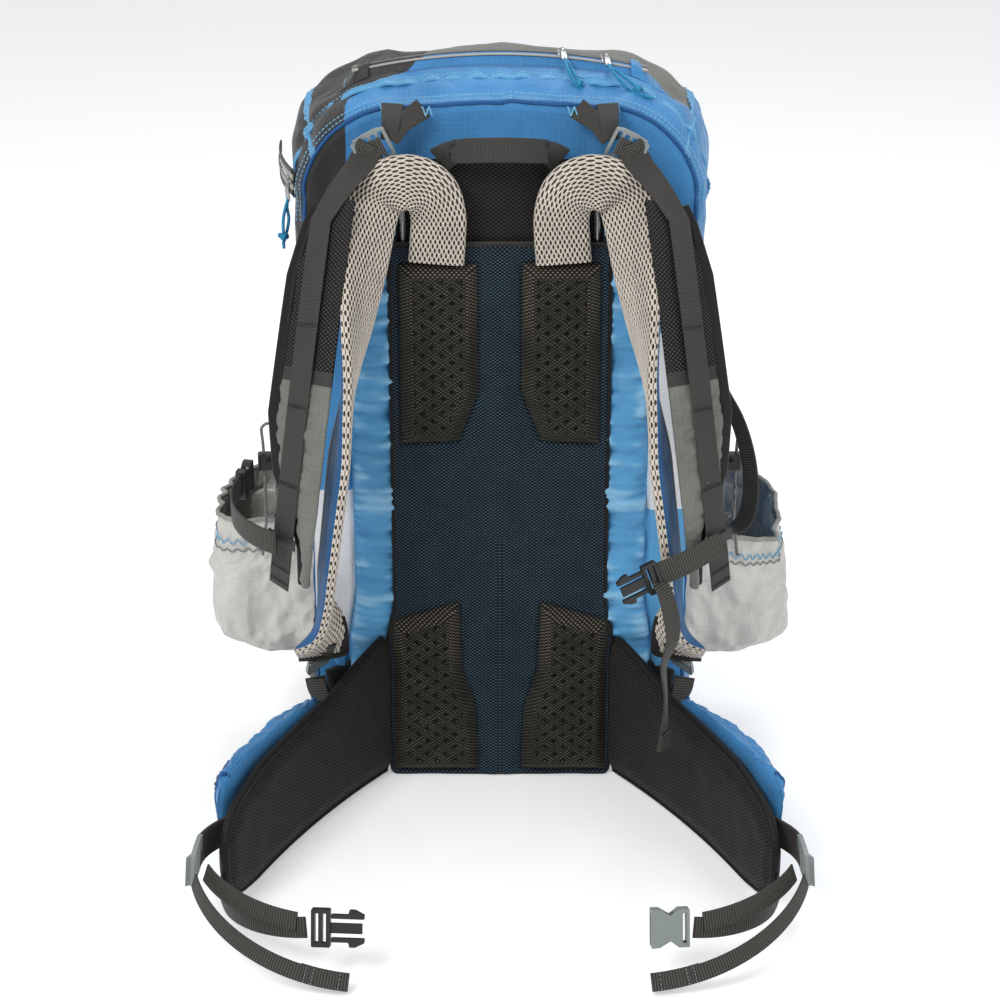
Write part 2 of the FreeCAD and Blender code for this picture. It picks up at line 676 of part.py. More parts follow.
def strap_arc(side):
    """The line of one shoulder strap, from its lower end up to the yoke."""
    return Arc(spot_of("strap_low", side), spot_of("strap_high", side), FORWARD, "strap_sag")


def tilted_strip(out, across, angle, width, thick):
    """Corners of a strip whose width leans by an angle from straight across to straight out."""
    reach_out, reach_across = f"sin({angle}) * ({width}) / 2", f"cos({angle}) * ({width}) / 2"
    face_out, face_across = f"cos({angle}) * ({thick}) / 2", f"sin({angle}) * ({thick}) / 2"
    signs = ((-1, -1), (1, -1), (1, 1), (-1, 1))
    return [
        (f"({out}) + {a} * {reach_out} + {b} * {face_out}",
         f"({across}) + {a} * {reach_across} - {b} * {face_across}")
        for a, b in signs
    ]


def mirrored(corners, side):
    """The arcs of both sides bulge to the wearer's side, so their across direction is the same on both."""
    return [(out, f"{-side} * ({across})") for out, across in corners[::side]]


def raised_strip(lift, width, thick, side):
    """Corners of a strip that lies over the strap pocket, at a height above the pocket's middle."""
    out, across = f"rail_out + cos(pocket_lean) * {lift}", f"rail_across + sin(pocket_lean) * {lift}"
    return mirrored(tilted_strip(out, across, "-pocket_lean", width, thick), side)


def strap(side):
    """Padded strap, the stretch pocket that wraps its outer edge, and the webbing rail on that pocket."""
    name, arc = SIDES[side], strap_arc(side)
    body = mirrored(tilted_strip("0", "0", "strap_roll", "strap_width", "strap_thick"), side)
    half = f"({arc.sweep} / 2)"
    keep(f"{name}_strap_pad", arc_strip(f"{name}_strap_pad", arc, body, f"-{half}", half))
    cloth = mirrored(
        tilted_strip("pocket_out", "pocket_across", "-pocket_lean", "pocket_width", "pocket_thick"), side)
    keep(f"{name}_strap_pocket", arc_strip(f"{name}_strap_pocket", arc, cloth, "pocket_low", "pocket_top"))
    rail = raised_strip("(pocket_thick / 2 + rail_gap + rail_thick / 2)", "rail_width", "rail_thick", side)
    keep(f"{name}_strap_rail", arc_strip(f"{name}_strap_rail", arc, rail, "rail_low", "pocket_top"))
    lower_lock(side, arc)
    chest_keeper(side, arc)
    return arc


def lower_lock(side, arc):
    """The ladder lock that hangs from the foot of the strap."""
    foot = -value(arc.sweep) / 2
    along = arc.tangent(foot) * -1
    spot = arc.point(foot) + along * 17
    place = facing(spot, along * -1, Vector(-side * 0.55, -0.8, 0))
    ladder_lock(f"{SIDES[side]}_lower_lock", place, value("small_scale"))


def chest_keeper(side, arc):
    """A flat keeper that rides over the rail and carries one half of the chest strap."""
    lift = "(pocket_thick / 2 + rail_gap + rail_thick + 0.5 + keeper_thick / 2)"
    corners = raised_strip(lift, "keeper_width", "keeper_thick", side)
    span = f"(keeper_length / {arc.radius} * 180 / {math.pi})"
    low, high = f"keeper_angle - {span} / 2", f"keeper_angle + {span} / 2"
    keep(f"{SIDES[side]}_chest_keeper", arc_strip(f"{SIDES[side]}_chest_keeper", arc, corners, low, high))


def strap_roots():
    """The short padded ends of the straps, sewn to the yoke above the back panel."""
    members = []
    for side, ends in ((LEFT, ("root_inner", "root_outer")), (RIGHT, ("-root_outer", "-root_inner"))):
        name = f"{SIDES[side]}_strap_root"
        members.append(box(name, *ends, "-4 - root_thick", "-4", "root_low", "root_high"))
    group("strap_roots", members)


def lifters():
    """Above each strap: the webbing sewn to the bag's top seam, and the ladder lock it holds."""
    anchors = []
    for side, name in SIDES.items():
        top, foot = spot_of("lifter_seam", side), spot_of("lifter_foot", side)
        anchors.append(flat_strip(
            f"{name}_lifter_anchor", foot, top, Vector(side * 0.3, -1, 0),
            "lifter_sag", "lifter_width", "web_thick"))
        along = Vector(side * 0.88, -0.1, -0.42).normalize()
        place = facing(foot + along * 17, along, Vector(0, -1, -0.25))
        ladder_lock(f"{name}_lifter_lock", place, value("lifter_lock_scale"))
    group("lifter_anchors", anchors)


def lower_webbing():
    """From the foot of each strap back to the bottom corner of the bag, with the fabric tab it is sewn to."""
    pieces = []
    for side, name in SIDES.items():
        pieces.append(flat_strip(
            f"{name}_lower_web", spot_of("lower_web_low", side), spot_of("lower_web_high", side), FORWARD,
            "lower_sag", "lower_width", "web_thick"))
        tab = doc.addObject("PartDesign::Body", f"{name}_anchor_tab")
        sketch = new_sketch(tab, "XZ_Plane")
        shape = ((98, 30), (134, 30), (142, 92), (98, 112))
        corners = [(f"{side} * {x}", str(z)) for x, z in shape]
        polygon(sketch, corners[::side])
        pad(tab, sketch, "2", midplane=True)
        tab.Placement.Base = at(0, 11.6, 0)
        pieces.append(tab)
    group("lower_strap_webbing", pieces)


def chest_straps(arcs):
    """The wearer's left half hangs forward with its buckle; the right half is folded back over its pocket."""
    keeper = arcs[LEFT].point(CELLS["keeper_angle"], 14, -37 * LEFT)
    start, end = keeper + Vector(-7, -10, -3), keeper + Vector(-44, -25, -16)
    short = flat_strip("chest_short", start, end, FORWARD, "chest_sag", "chest_width", "web_thick")
    tail = flat_strip(
        "chest_tail", end + Vector(6, -9, -14), end + Vector(4, -6, -146), Vector(1, 0, 0),
        "chest_tail_sag", "chest_tail_width", "web_thick")
    group("left_chest_strap", [short, tail])
    along = (end - start).normalize()
    male_frame("chest_plug", facing(end + along * 14.5, along, FORWARD), value("small_scale"), True)
    keeper = arcs[RIGHT].point(CELLS["keeper_angle"], 14, -37 * RIGHT)
    start, end = keeper + Vector(-8, -5, 1), keeper + Vector(-40, 90, 8)
    keep("right_chest_strap", flat_strip(
        "right_chest_strap", start, end, Vector(-1, 0, 0), "chest_back_sag", "chest_width", "web_thick"))
    along = Arc(start, end, Vector(-1, 0, 0), "chest_back_sag").tangent(CELLS["chest_turn"])
    female_body("chest_socket", facing(end + along * 1.5, along, Vector(-1, 0, 0)), value("small_scale"))


# ---------------------------------------------------------------- hip belt


def hip_wing(side):
    """A padded wing that curves round the hip, with the sewn loop of its ladder lock and a zipped pocket."""
    name = SIDES[side]
    root, tip = spot_of("wing_root", side), spot_of("wing_tip", side)
    outward = Vector(side * 0.9, 0.44, 0)
    middle = UP * value("wing_low + wing_high / 2")
    blank = flat_strip(
        f"{name}_wing_blank", root + middle, tip + middle, outward, "wing_sag", "wing_high", "wing_thick")
    trimmed = boolean("Cut", f"{name}_wing_pad", blank, wing_knife(name, root, tip))
    loop = flat_strip(
        f"{name}_wing_loop", spot_of("loop_root", side), spot_of("loop_end", side), Vector(side, 0, 0),
        "loop_sag", "loop_width", "loop_thick")
    group(f"{name}_hip_wing", [trimmed, loop])
    arc = Arc(root, tip, outward, "wing_sag")
    arc.hub += UP * value("hip_low + hip_high / 2")
    inner, half = "wing_thick / 2 + hip_gap", "hip_high / 2"
    corners = [
        (inner, f"-{half}"), (f"{inner} + hip_thick", f"-{half} + 5"),
        (f"{inner} + hip_thick", f"{half} - 5"), (inner, half),
    ]
    keep(f"{name}_hip_pocket", arc_strip(f"{name}_hip_pocket", arc, corners, "hip_start", "hip_end"))
    spot = arc.point(0.0, value(f"{inner} + hip_thick"), side * -12)
    zip_slider(f"{name}_hip_slider", facing(spot, UP, arc.outward(0.0)), Vector(0, 0, -1))


def wing_knife(name, root, tip):
    """The block that trims the wing's top edge: steep by the back panel, nearly level, then down."""
    along = (tip - root).normalize()
    body = doc.addObject("PartDesign::Body", f"{name}_wing_knife")
    sketch = new_sketch(body, "YZ_Plane")
    reach = f"{round((tip - root).Length + 20, 3)}"
    top = "wing_low + wing_high"
    polygon(sketch, [
        ("-20", f"{top} + 9"), ("elbow_at", "wing_low + wing_elbow"), ("waist_at", "wing_low + wing_waist"),
        (reach, "wing_low + wing_tip"), (reach, f"{top} + 20"), ("-20", f"{top} + 20"),
    ])
    pad(body, sketch, "200", midplane=True)
    body.Placement = Placement(Vector(root.x, root.y, 0), Rotation(along.cross(UP), along, UP, "XYZ"))
    return body


def belt_webbing(side):
    """Pull-forward webbing: wing tip to buckle, buckle back to the ladder lock, and the loose tail."""
    name = SIDES[side]
    tip = spot_of("belt_tip", side)
    buckle = spot_of("belt_buckle", side)
    forward = Vector(side * 0.78, -0.62, 0)
    strip = flat_strip(f"{name}_belt_lower", tip, buckle, forward, "waist_sag", "waist_width", "web_thick")
    back = flat_strip(
        f"{name}_belt_return", spot_of("belt_return", side), buckle + forward * 5 + Vector(side * 3, 4, 3),
        forward, "return_sag", "waist_width - 3", "web_thick")
    tail = flat_strip(
        f"{name}_belt_tail", spot_of("tail_start", side), spot_of("tail_end", side),
        Vector(side * 0.62, -0.78, 0), "tail_sag", "tail_width", "web_thick")
    group(f"{name}_waist_strap", [strip, back, tail])
    return buckle, (buckle - tip).normalize()


def belt_buckles():
    """The plug on the wearer's right and the socket on the wearer's left, each at the end of its webbing."""
    spot, along = belt_webbing(RIGHT)
    inward = Vector(1, -0.1, 0.02)
    scale = value("waist_scale")
    place = facing(spot + along * 4 + inward * 18 * scale, inward, Vector(0, -1, 0.3))
    male_frame("waist_plug", place, scale)
    prong("upper_prong", 1, place, scale)
    prong("lower_prong", -1, place, scale)
    spot, along = belt_webbing(LEFT)
    inward = Vector(-1, -0.1, 0.02)
    female_body("waist_socket", facing(spot + along * 2 + inward * 2, inward, Vector(0, -1, 0.3)), scale)


def belt_locks():
    """The ladder locks near the tips of the wings."""
    for side, name in SIDES.items():
        outward = Vector(side, 0.1, 0.1)
        along = Vector(side * 0.1, -1, -0.1)
        place = facing(spot_of("belt_lock", side), along, outward)
        ladder_lock(f"{name}_belt_lock", place, value("belt_lock_scale"))


# ---------------------------------------------------------------- side pockets


def pouch_outline(sketch, side, inset, start):
    """The pocket from above: straight near and far walls and two round outer corners."""
    near, far = f"pouch_near - base_centre + {inset}", f"pouch_far - base_centre - ({inset})"
    outer, turned = f"{side} * (pouch_out - ({inset}))", f"{side} * (pouch_out - pouch_round)"
    low, high = "pouch_near - base_centre + pouch_round", "pouch_far - base_centre - pouch_round"
    lines = [
        ((start, near), (turned, near)), ((outer, low), (outer, high)),
        ((turned, far), (start, far)), ((start, far), (start, near)),
    ]
    for i, ends in enumerate(lines):
        points = [Vector(value(x), value(y), 0) for x, y in ends]
        sketch.addGeometry(Part.LineSegment(*points))
        for end, (x, y) in enumerate(ends, start=1):
            if i != 3:
                pin(sketch, i, end, x, y)
    sketch.addConstraint(Sketcher.Constraint("Coincident", 2, 2, 3, 1))
    sketch.addConstraint(Sketcher.Constraint("Coincident", 3, 2, 0, 1))
    radius = value(f"pouch_round - ({inset})")
    for first, second, y in ((0, 1, low), (1, 2, high)):
        centre = Vector(value(turned), value(y), 0)
        begin = -90 if first == 0 else 0
        if side < 0:
            begin = 180 if first == 0 else 90
        ring = Part.Circle(centre, Vector(0, 0, 1), radius)
        arc = sketch.addGeometry(Part.ArcOfCircle(ring, math.radians(begin), math.radians(begin + 90)))
        ends = (1, 2) if side > 0 else (2, 1)
        sketch.addConstraint(Sketcher.Constraint("Coincident", first, 2, arc, ends[0]))
        sketch.addConstraint(Sketcher.Constraint("Coincident", arc, ends[1], second, 1))
        sketch.addConstraint(Sketcher.Constraint("Radius", arc, radius))
        bind(sketch, f"Constraints[{sketch.ConstraintCount - 1}]", f"pouch_round - ({inset})")


def side_pouch(side):
    """An open stretch pocket: three walls and a floor, closed on its fourth side by the bag."""
    body = new_body(f"{SIDES[side]}_side_pocket")
    sketch = new_sketch(body, "XY_Plane", "pouch_low")
    pouch_outline(sketch, side, "0", f"{side} * pouch_in")
    pad(body, sketch, "pouch_high - pouch_low")
    sketch = new_sketch(body, "XY_Plane", "pouch_high")
    pouch_outline(sketch, side, "pouch_wall", f"{side} * (pouch_in - 5)")
    pocket(body, sketch, "pouch_high - pouch_low - pouch_wall")


def lace(side):
    """One pocket's elastic cord: two runs joined by a half ring."""
    name = SIDES[side]
    spot = spot_of("lace", side)
    runs = []
    for hand in (1, -1):
        rod = doc.addObject("Part::Cylinder", f"{name}_lace_{'outer' if hand == side else 'inner'}")
        bind(rod, "Radius", "lace_radius")
        bind(rod, "Height", "lace_high - lace_low")
        rod.Placement = Placement(spot + Vector(hand * CELLS["lace_half"], 0, CELLS["lace_low"]), Rotation())
        runs.append(rod)
    ring = doc.addObject("Part::Torus", f"{name}_lace_ring")
    bind(ring, "Radius1", "lace_half")
    bind(ring, "Radius2", "lace_radius")
    ring.Angle3 = 180
    ring.Placement = Placement(spot + UP * CELLS["lace_high"], Rotation(Vector(1, 0, 0), 90))
    cord = doc.addObject("Part::MultiFuse", f"{name}_lace")
    cord.Shapes = runs + [ring]
    return cord, spot


def pocket_laces():
    cords = []
    for side in SIDES:
        cord, spot = lace(side)
        toggle(side, spot)
        cords.append(cord)
    group("pocket_laces", cords)


def toggle(side, spot):
    """The cord lock: a body with two cord holes and a bore between them for its sprung plunger."""
    name = SIDES[side]
    body = new_body(f"{name}_cord_lock")
    sketch = new_sketch(body, "XY_Plane")
    rectangle(sketch, "-toggle_half", "toggle_half", "-toggle_deep / 2", "toggle_deep / 2")
    pad(body, sketch, "toggle_high", midplane=True)
    round_edges(body, "3", upright)
    sketch = new_sketch(body, "XY_Plane")
    for hand in (1, -1):
        circle(sketch, f"{hand} * lace_half", "0", "lace_radius + lace_clear")
    pocket(body, sketch, midplane=True)
    sketch = new_sketch(body, "XZ_Plane", "toggle_deep / 2 + 1")
    circle(sketch, "0", "0", "plunger_radius + plunger_clear")
    pocket(body, sketch, "toggle_deep - 0.5")
    body.Placement = Placement(spot + UP * CELLS["toggle_at"], Rotation())
    button = doc.addObject("Part::Cylinder", f"{name}_cord_plunger")
    bind(button, "Radius", "plunger_radius")
    bind(button, "Height", "toggle_deep / 2 + plunger_out - 0.5")
    button.Placement = Placement(
        spot + Vector(0, -0.5, CELLS["toggle_at"]), Rotation(UP, FORWARD))
    keep(f"{name}_cord_plunger", button)


def side_strap():
    """The doubled compression webbing that hangs over the wearer's left side pocket."""
    start, end = spot_of("compression_high"), spot_of("compression_low")
    keep("side_compression_strap", flat_strip(
        "side_compression_strap", start, end, Vector(1, 0, 0), "side_sag", "side_width", "side_thick"))


# ---------------------------------------------------------------- build, check and write


def build():
    fill_sheet()
    bag_panels()
    line = zip_line()
    top_zip(line)
    top_sliders(line)
    side_zip()
    back_panel()
    foam_pads()
    frame()
    haul_loop()
    strap_roots()
    arcs = {side: strap(side) for side in SIDES}
    lifters()
    lower_webbing()
    chest_straps(arcs)
    for side in SIDES:
        hip_wing(side)
        side_pouch(side)
    pocket_laces()
    belt_buckles()
    belt_locks()
    side_strap()
    doc.recompute()


def check():
    failed = [o.Label for o in doc.Objects if {"Invalid", "Error"} & set(o.State)]
    for name, thing in parts.items():
        shape = thing.Shape
        if shape.isNull() or not shape.isValid() or not shape.Solids or shape.Volume <= 0:
            failed.append(name)
    if failed:
        raise RuntimeError(f"these did not build: {failed}")


def write():
    os.makedirs("parts", exist_ok=True)
    for old in os.listdir("parts"):
        os.remove(os.path.join("parts", old))
    for name, thing in parts.items():
        thing.Shape.exportStep(f"parts/{name}.step")
    print(f"{len(parts)} parts written")


build()
check()
write()
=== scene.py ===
"""Looks for a hiking daypack that stands on the floor with its harness towards the camera.

Shapes are worked out in millimetres: x towards the wearer's left, y from the plane of the back panel into
the bag, z up from the floor. place() turns them into the frame's metres.
"""
import math
import bpy
import numpy as np
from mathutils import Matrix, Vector, noise


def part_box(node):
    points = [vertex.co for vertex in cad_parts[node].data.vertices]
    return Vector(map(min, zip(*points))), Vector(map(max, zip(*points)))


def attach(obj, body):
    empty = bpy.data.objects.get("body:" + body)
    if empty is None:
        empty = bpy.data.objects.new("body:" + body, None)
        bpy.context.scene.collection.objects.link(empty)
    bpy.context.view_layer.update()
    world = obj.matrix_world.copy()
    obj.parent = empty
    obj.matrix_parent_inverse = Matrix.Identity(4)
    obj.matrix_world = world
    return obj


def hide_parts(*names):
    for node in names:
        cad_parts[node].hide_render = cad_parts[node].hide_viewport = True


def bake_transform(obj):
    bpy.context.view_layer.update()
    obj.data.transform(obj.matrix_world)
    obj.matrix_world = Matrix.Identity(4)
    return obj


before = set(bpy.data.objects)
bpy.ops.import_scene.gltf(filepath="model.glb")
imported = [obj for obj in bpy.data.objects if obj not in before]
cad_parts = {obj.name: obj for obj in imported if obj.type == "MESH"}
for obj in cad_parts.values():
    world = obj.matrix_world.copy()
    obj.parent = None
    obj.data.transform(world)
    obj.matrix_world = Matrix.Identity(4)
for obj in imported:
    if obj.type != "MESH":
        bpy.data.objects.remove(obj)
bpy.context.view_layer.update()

MM = 0.001
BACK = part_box("mesh_back_panel")[1].y - 3 * MM
SIDES = {1: "left", -1: "right"}
UP = np.array([0.0, 0.0, 1.0])


# ---------------------------------------------------------------- numbers and curves


def point(x, y, z):
    return np.array([x, y, z], float)


def unit(vectors):
    vectors = np.asarray(vectors, float)
    return vectors / np.maximum(np.linalg.norm(vectors, axis=-1, keepdims=True), 1e-12)


def ease(t):
    t = np.clip(t, 0.0, 1.0)
    return t * t * (3 - 2 * t)


def place(points):
    return np.asarray(points, float) * MM + (0.0, BACK, 0.0)


def evened(row, count):
    """A row of numbers averaged over so many neighbours."""
    return np.convolve(np.pad(row, count // 2, mode="edge"), np.ones(count) / count, mode="valid")


def centre_of(node):
    """The middle of a CAD node's box, in millimetres."""
    low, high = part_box(node)
    return (np.array((low + high) / 2) - (0, BACK, 0)) / MM


def lengths(path):
    steps = np.linalg.norm(np.diff(path[:, :3], axis=0), axis=1)
    return np.concatenate([[0.0], np.cumsum(steps)])


def resample(path, count):
    path = np.asarray(path, float)
    at = lengths(path)
    wanted = np.linspace(0.0, at[-1], count)
    return np.stack([np.interp(wanted, at, column) for column in path.T], axis=1)


def curve_through(points, count):
    """A smooth curve through points, evenly spaced. Columns after the first three are carried along."""
    knots = np.asarray(points, float)
    knots = np.concatenate([2 * knots[:1] - knots[1:2], knots, 2 * knots[-1:] - knots[-2:-1]])
    fine = []
    for a, b, c, d in zip(knots, knots[1:], knots[2:], knots[3:]):
        t = np.linspace(0, 1, 24, endpoint=False)[:, None]
        square, cube = 2 * a - 5 * b + 4 * c - d, 3 * b - a - 3 * c + d
        fine.append(0.5 * (2 * b + (c - a) * t + square * t**2 + cube * t**3))
    fine.append(knots[-2:-1])
    return resample(np.concatenate(fine), count)


class Arc:
    """A circular arc between two points that bulges by so much towards a direction."""

    def __init__(self, start, end, bulge, sag):
        chord = np.linalg.norm(end - start)
        self.radius = chord**2 / (8 * sag) + sag / 2
        self.along = unit(end - start)
        self.out = unit(bulge - self.along * np.dot(bulge, self.along))
        self.hub = (start + end) / 2 - self.out * (self.radius - sag)
        self.side = np.cross(self.out, self.along)
        self.half = math.degrees(math.asin(chord / (2 * self.radius)))

    def outward(self, angle):
        t = np.radians(np.atleast_1d(angle))[:, None]
        return self.out * np.cos(t) + self.along * np.sin(t)

    def point(self, angle, out=0.0, across=0.0):
        out = np.broadcast_to(np.asarray(out, float), np.atleast_1d(angle).shape)[:, None]
        across = np.broadcast_to(np.asarray(across, float), np.atleast_1d(angle).shape)[:, None]
        return self.hub + self.outward(angle) * (self.radius + out) + self.side * across


def noise_field(points, scale, seed, octaves=2):
    """Smooth noise at each point, about -1 to 1. The scale is the size of a lump in millimetres."""
    flat = np.asarray(points, float).reshape(-1, 3) / scale + seed
    values = [noise.fractal(Vector(p), 0.8, 2.0, octaves) for p in flat]
    return np.array(values).reshape(np.asarray(points).shape[:-1])


# ---------------------------------------------------------------- meshes


def finish_mesh(name, points, faces, corners, look, picks=None):
    """An object from points in millimetres, faces and their corners' UVs in metres."""
    mesh = bpy.data.meshes.new(name)
    mesh.from_pydata(place(points).tolist(), [], faces)
    mesh.update()
    layer = mesh.uv_layers.new(name="UVMap")
    layer.data.foreach_set("uv", np.asarray(corners, np.float32).ravel())
    mesh.polygons.foreach_set("use_smooth", np.ones(len(faces), bool))
    looks = look if isinstance(look, (list, tuple)) else [look]
    for each in looks:
        mesh.materials.append(each)
    if picks is not None:
        mesh.polygons.foreach_set("material_index", np.asarray(picks, np.int32))
    obj = bpy.data.objects.new(name, mesh)
    bpy.context.scene.collection.objects.link(obj)
    return obj


def grid(name, P, uv, look, wrap=False, caps=False, picks=None):
    """A sheet of quads. P is rows x columns x 3 in mm, uv is rows x (columns + wrap) x 2 in mm."""
    rows, cols = P.shape[:2]
    last = cols if wrap else cols - 1
    i, j = (a.ravel() for a in np.meshgrid(np.arange(rows - 1), np.arange(last), indexing="ij"))
    k = (j + 1) % cols
    faces = np.stack([i * cols + j, i * cols + k, (i + 1) * cols + k, (i + 1) * cols + j], 1).tolist()
    corners = np.stack([uv[i, j], uv[i, j + 1], uv[i + 1, j + 1], uv[i + 1, j]], 1).reshape(-1, 2)
    chosen = None
    if picks is not None:
        chosen = picks(i, j).tolist()
    if caps:
        faces.append(list(range(cols))[::-1])
        faces.append([(rows - 1) * cols + c for c in range(cols)])
        corners = np.concatenate([corners, uv[0, :cols][::-1], uv[-1, :cols]])
        if chosen is not None:
            chosen += [0, 0]
    return finish_mesh(name, P.reshape(-1, 3), faces, corners * MM, look, chosen)


def sheet_uv(P):
    """Distances in millimetres along the rows and columns of a sheet, from its middle row and column."""
    across = np.linalg.norm(np.diff(P, axis=1), axis=2)
    u = np.concatenate([np.zeros((len(P), 1)), np.cumsum(across, axis=1)], axis=1)
    u = u - u[:, P.shape[1] // 2][:, None]
    middle = P[:, P.shape[1] // 2]
    v = lengths(middle)[:, None] * np.ones((1, P.shape[1]))
    return np.stack([u, v], axis=2)


def frames(path, out):
    """Tangent, outward and across directions along a path."""
    tangent = unit(np.gradient(path, axis=0))
    out = np.broadcast_to(np.asarray(out, float), path.shape)
    out = unit(out - (out * tangent).sum(1)[:, None] * tangent)
    return tangent, out, np.cross(tangent, out)


def sweep_points(path, out, ring):
    _, out, across = frames(path, out)
    ring = np.broadcast_to(np.asarray(ring, float), (len(path),) + np.asarray(ring).shape[-2:])
    return path[:, None] + across[:, None] * ring[..., :1] + out[:, None] * ring[..., 1:]


def sweep(name, path, out, ring, look):
    """A closed ring of (across, out) offsets carried along a path."""
    path = np.asarray(path, float)
    P = sweep_points(path, out, ring)
    shape = np.broadcast_to(np.asarray(ring, float), P.shape[:2] + (2,))
    closed = np.concatenate([shape, shape[:, :1]], axis=1)
    u = np.concatenate(
        [np.zeros((len(P), 1)), np.cumsum(np.linalg.norm(np.diff(closed, axis=1), axis=2), axis=1)], axis=1)
    v = lengths(path)[:, None] * np.ones_like(u)
    return grid(name, P, np.stack([u, v], axis=2), look, wrap=True, caps=True)


def band(width, thick):
    """A flat ring with round edges, from the middle of its outer face."""
    r = thick / 2
    reach = width / 2 - r
    across = np.linspace(0, reach, 4, endpoint=False)
    turn = np.radians(np.linspace(90, -90, 7))
    right = [(x, r) for x in across] + [(reach + r * math.cos(t), r * math.sin(t)) for t in turn]
    right += [(x, -r) for x in across[::-1]]
    left = [(-x, z) for x, z in right[::-1]]
    return np.array(right[:-1] + left[:-1])


def circle(radius, count=10):
    t = np.linspace(0, 2 * np.pi, count, endpoint=False)
    return np.stack([np.cos(t), np.sin(t)], axis=1) * radius


def web(name, path, out, width, thick, look):
    """Flat webbing along a path, facing outward. Widths may change along it."""
    widths = np.broadcast_to(np.asarray(width, float), (len(path),))
    ring = np.stack([band(w, thick) for w in widths])
    return sweep(name, path, out, ring, look)


def carried(path):
    """Outward directions that turn as little as possible along a path."""
    tangent = unit(np.gradient(path, axis=0))
    seed = np.array([0.3, -0.8, 0.5])
    out = [unit(seed - tangent[0] * seed.dot(tangent[0]))]
    for t in tangent[1:]:
        last = out[-1]
        out.append(unit(last - t * last.dot(t)))
    return np.array(out)


def cord(name, points, radius, look, count=60):
    path = curve_through(points, count)
    return sweep(name, path, carried(path), circle(radius), look)


def knot(name, centre, along, size, radius, look):
    """An overhand knot: a trefoil pulled tight across the cord."""
    t = np.linspace(0, 2 * np.pi, 70)
    x, y = np.sin(t) + 2 * np.sin(2 * t), np.cos(t) - 2 * np.cos(2 * t)
    loop = np.stack([x, y, -1.3 * np.sin(3 * t)], 1) / 3
    along = unit(along)
    side = unit(np.cross(along, [0.2, -1, 0.3]))
    third = np.cross(along, side)
    path = centre + size * (loop[:, :1] * side + loop[:, 1:2] * third * 0.8 + loop[:, 2:] * along)
    return sweep(name, path, carried(path), circle(radius, 8), look)


def join(name, *objects):
    """One object from several, each with its own materials."""
    base = objects[0]
    with bpy.context.temp_override(active_object=base, selected_editable_objects=list(objects)):
        bpy.ops.object.join()
    base.name = name
    return base


def threads(name, centres, along, out, length, radius, look):
    """Short rounded stitches that lie on a surface."""
    along, out = unit(along), unit(out)
    side = np.cross(along, out)
    stations = ((-0.5, 0.35), (-0.36, 0.95), (0.36, 0.95), (0.5, 0.35))
    ring = [(math.cos(a), math.sin(a)) for a in np.linspace(0, 2 * np.pi, 6, endpoint=False)]
    points, faces = [], []
    lift = radius * 0.55
    for x, grow in stations:
        for s, o in ring:
            points.append(
                centres + along * x * length + side * s * radius * grow + out * (o * radius * grow + lift))
    points = np.stack(points, axis=1)
    template = []
    for a in range(3):
        for b in range(6):
            c = (b + 1) % 6
            template.append((a * 6 + b, a * 6 + c, a * 6 + 6 + c, a * 6 + 6 + b))
    for n in range(len(centres)):
        faces += [tuple(24 * n + v for v in face) for face in template]
        faces.append(tuple(24 * n + v for v in range(5, -1, -1)))
        faces.append(tuple(24 * n + v for v in range(18, 24)))
    total = sum(len(f) for f in faces)
    return finish_mesh(name, points.reshape(-1, 3), faces, np.zeros((total, 2)), look)


def stitches(name, path, out, look, pitch=3.2, length=2.3, radius=0.45, zigzag=0.0, shift=0.0):
    """A row of stitches along a path, straight or zigzag, moved sideways by shift."""
    path = np.asarray(path, float)
    out = np.broadcast_to(np.asarray(out, float), path.shape)
    count = max(3, int(lengths(path)[-1] / pitch))
    both = resample(np.concatenate([path, out], axis=1), count)
    tangent, normal, across = frames(both[:, :3], both[:, 3:])
    line = both[:, :3] + across * shift
    if zigzag:
        sign = np.where(np.arange(count) % 2, 1, -1)[:, None]
        line = line + across * sign * zigzag
        middle, along = (line[1:] + line[:-1]) / 2, line[1:] - line[:-1]
        return threads(name, middle, along, normal[1:], np.linalg.norm(along, axis=1)[:, None], radius, look)
    return threads(name, line, tangent, normal, length, radius, look)


def modifier(obj, kind, **settings):
    made = obj.modifiers.new(kind.lower(), kind)
    for key, setting in settings.items():
        setattr(made, key, setting)
    return made


def thicken(obj, thick, offset=-1.0):
    return modifier(obj, "SOLIDIFY", thickness=thick * MM, offset=offset)


def smoother(obj, levels=1):
    return modifier(
        obj, "SUBSURF", levels=levels, render_levels=levels, boundary_smooth="PRESERVE_CORNERS")


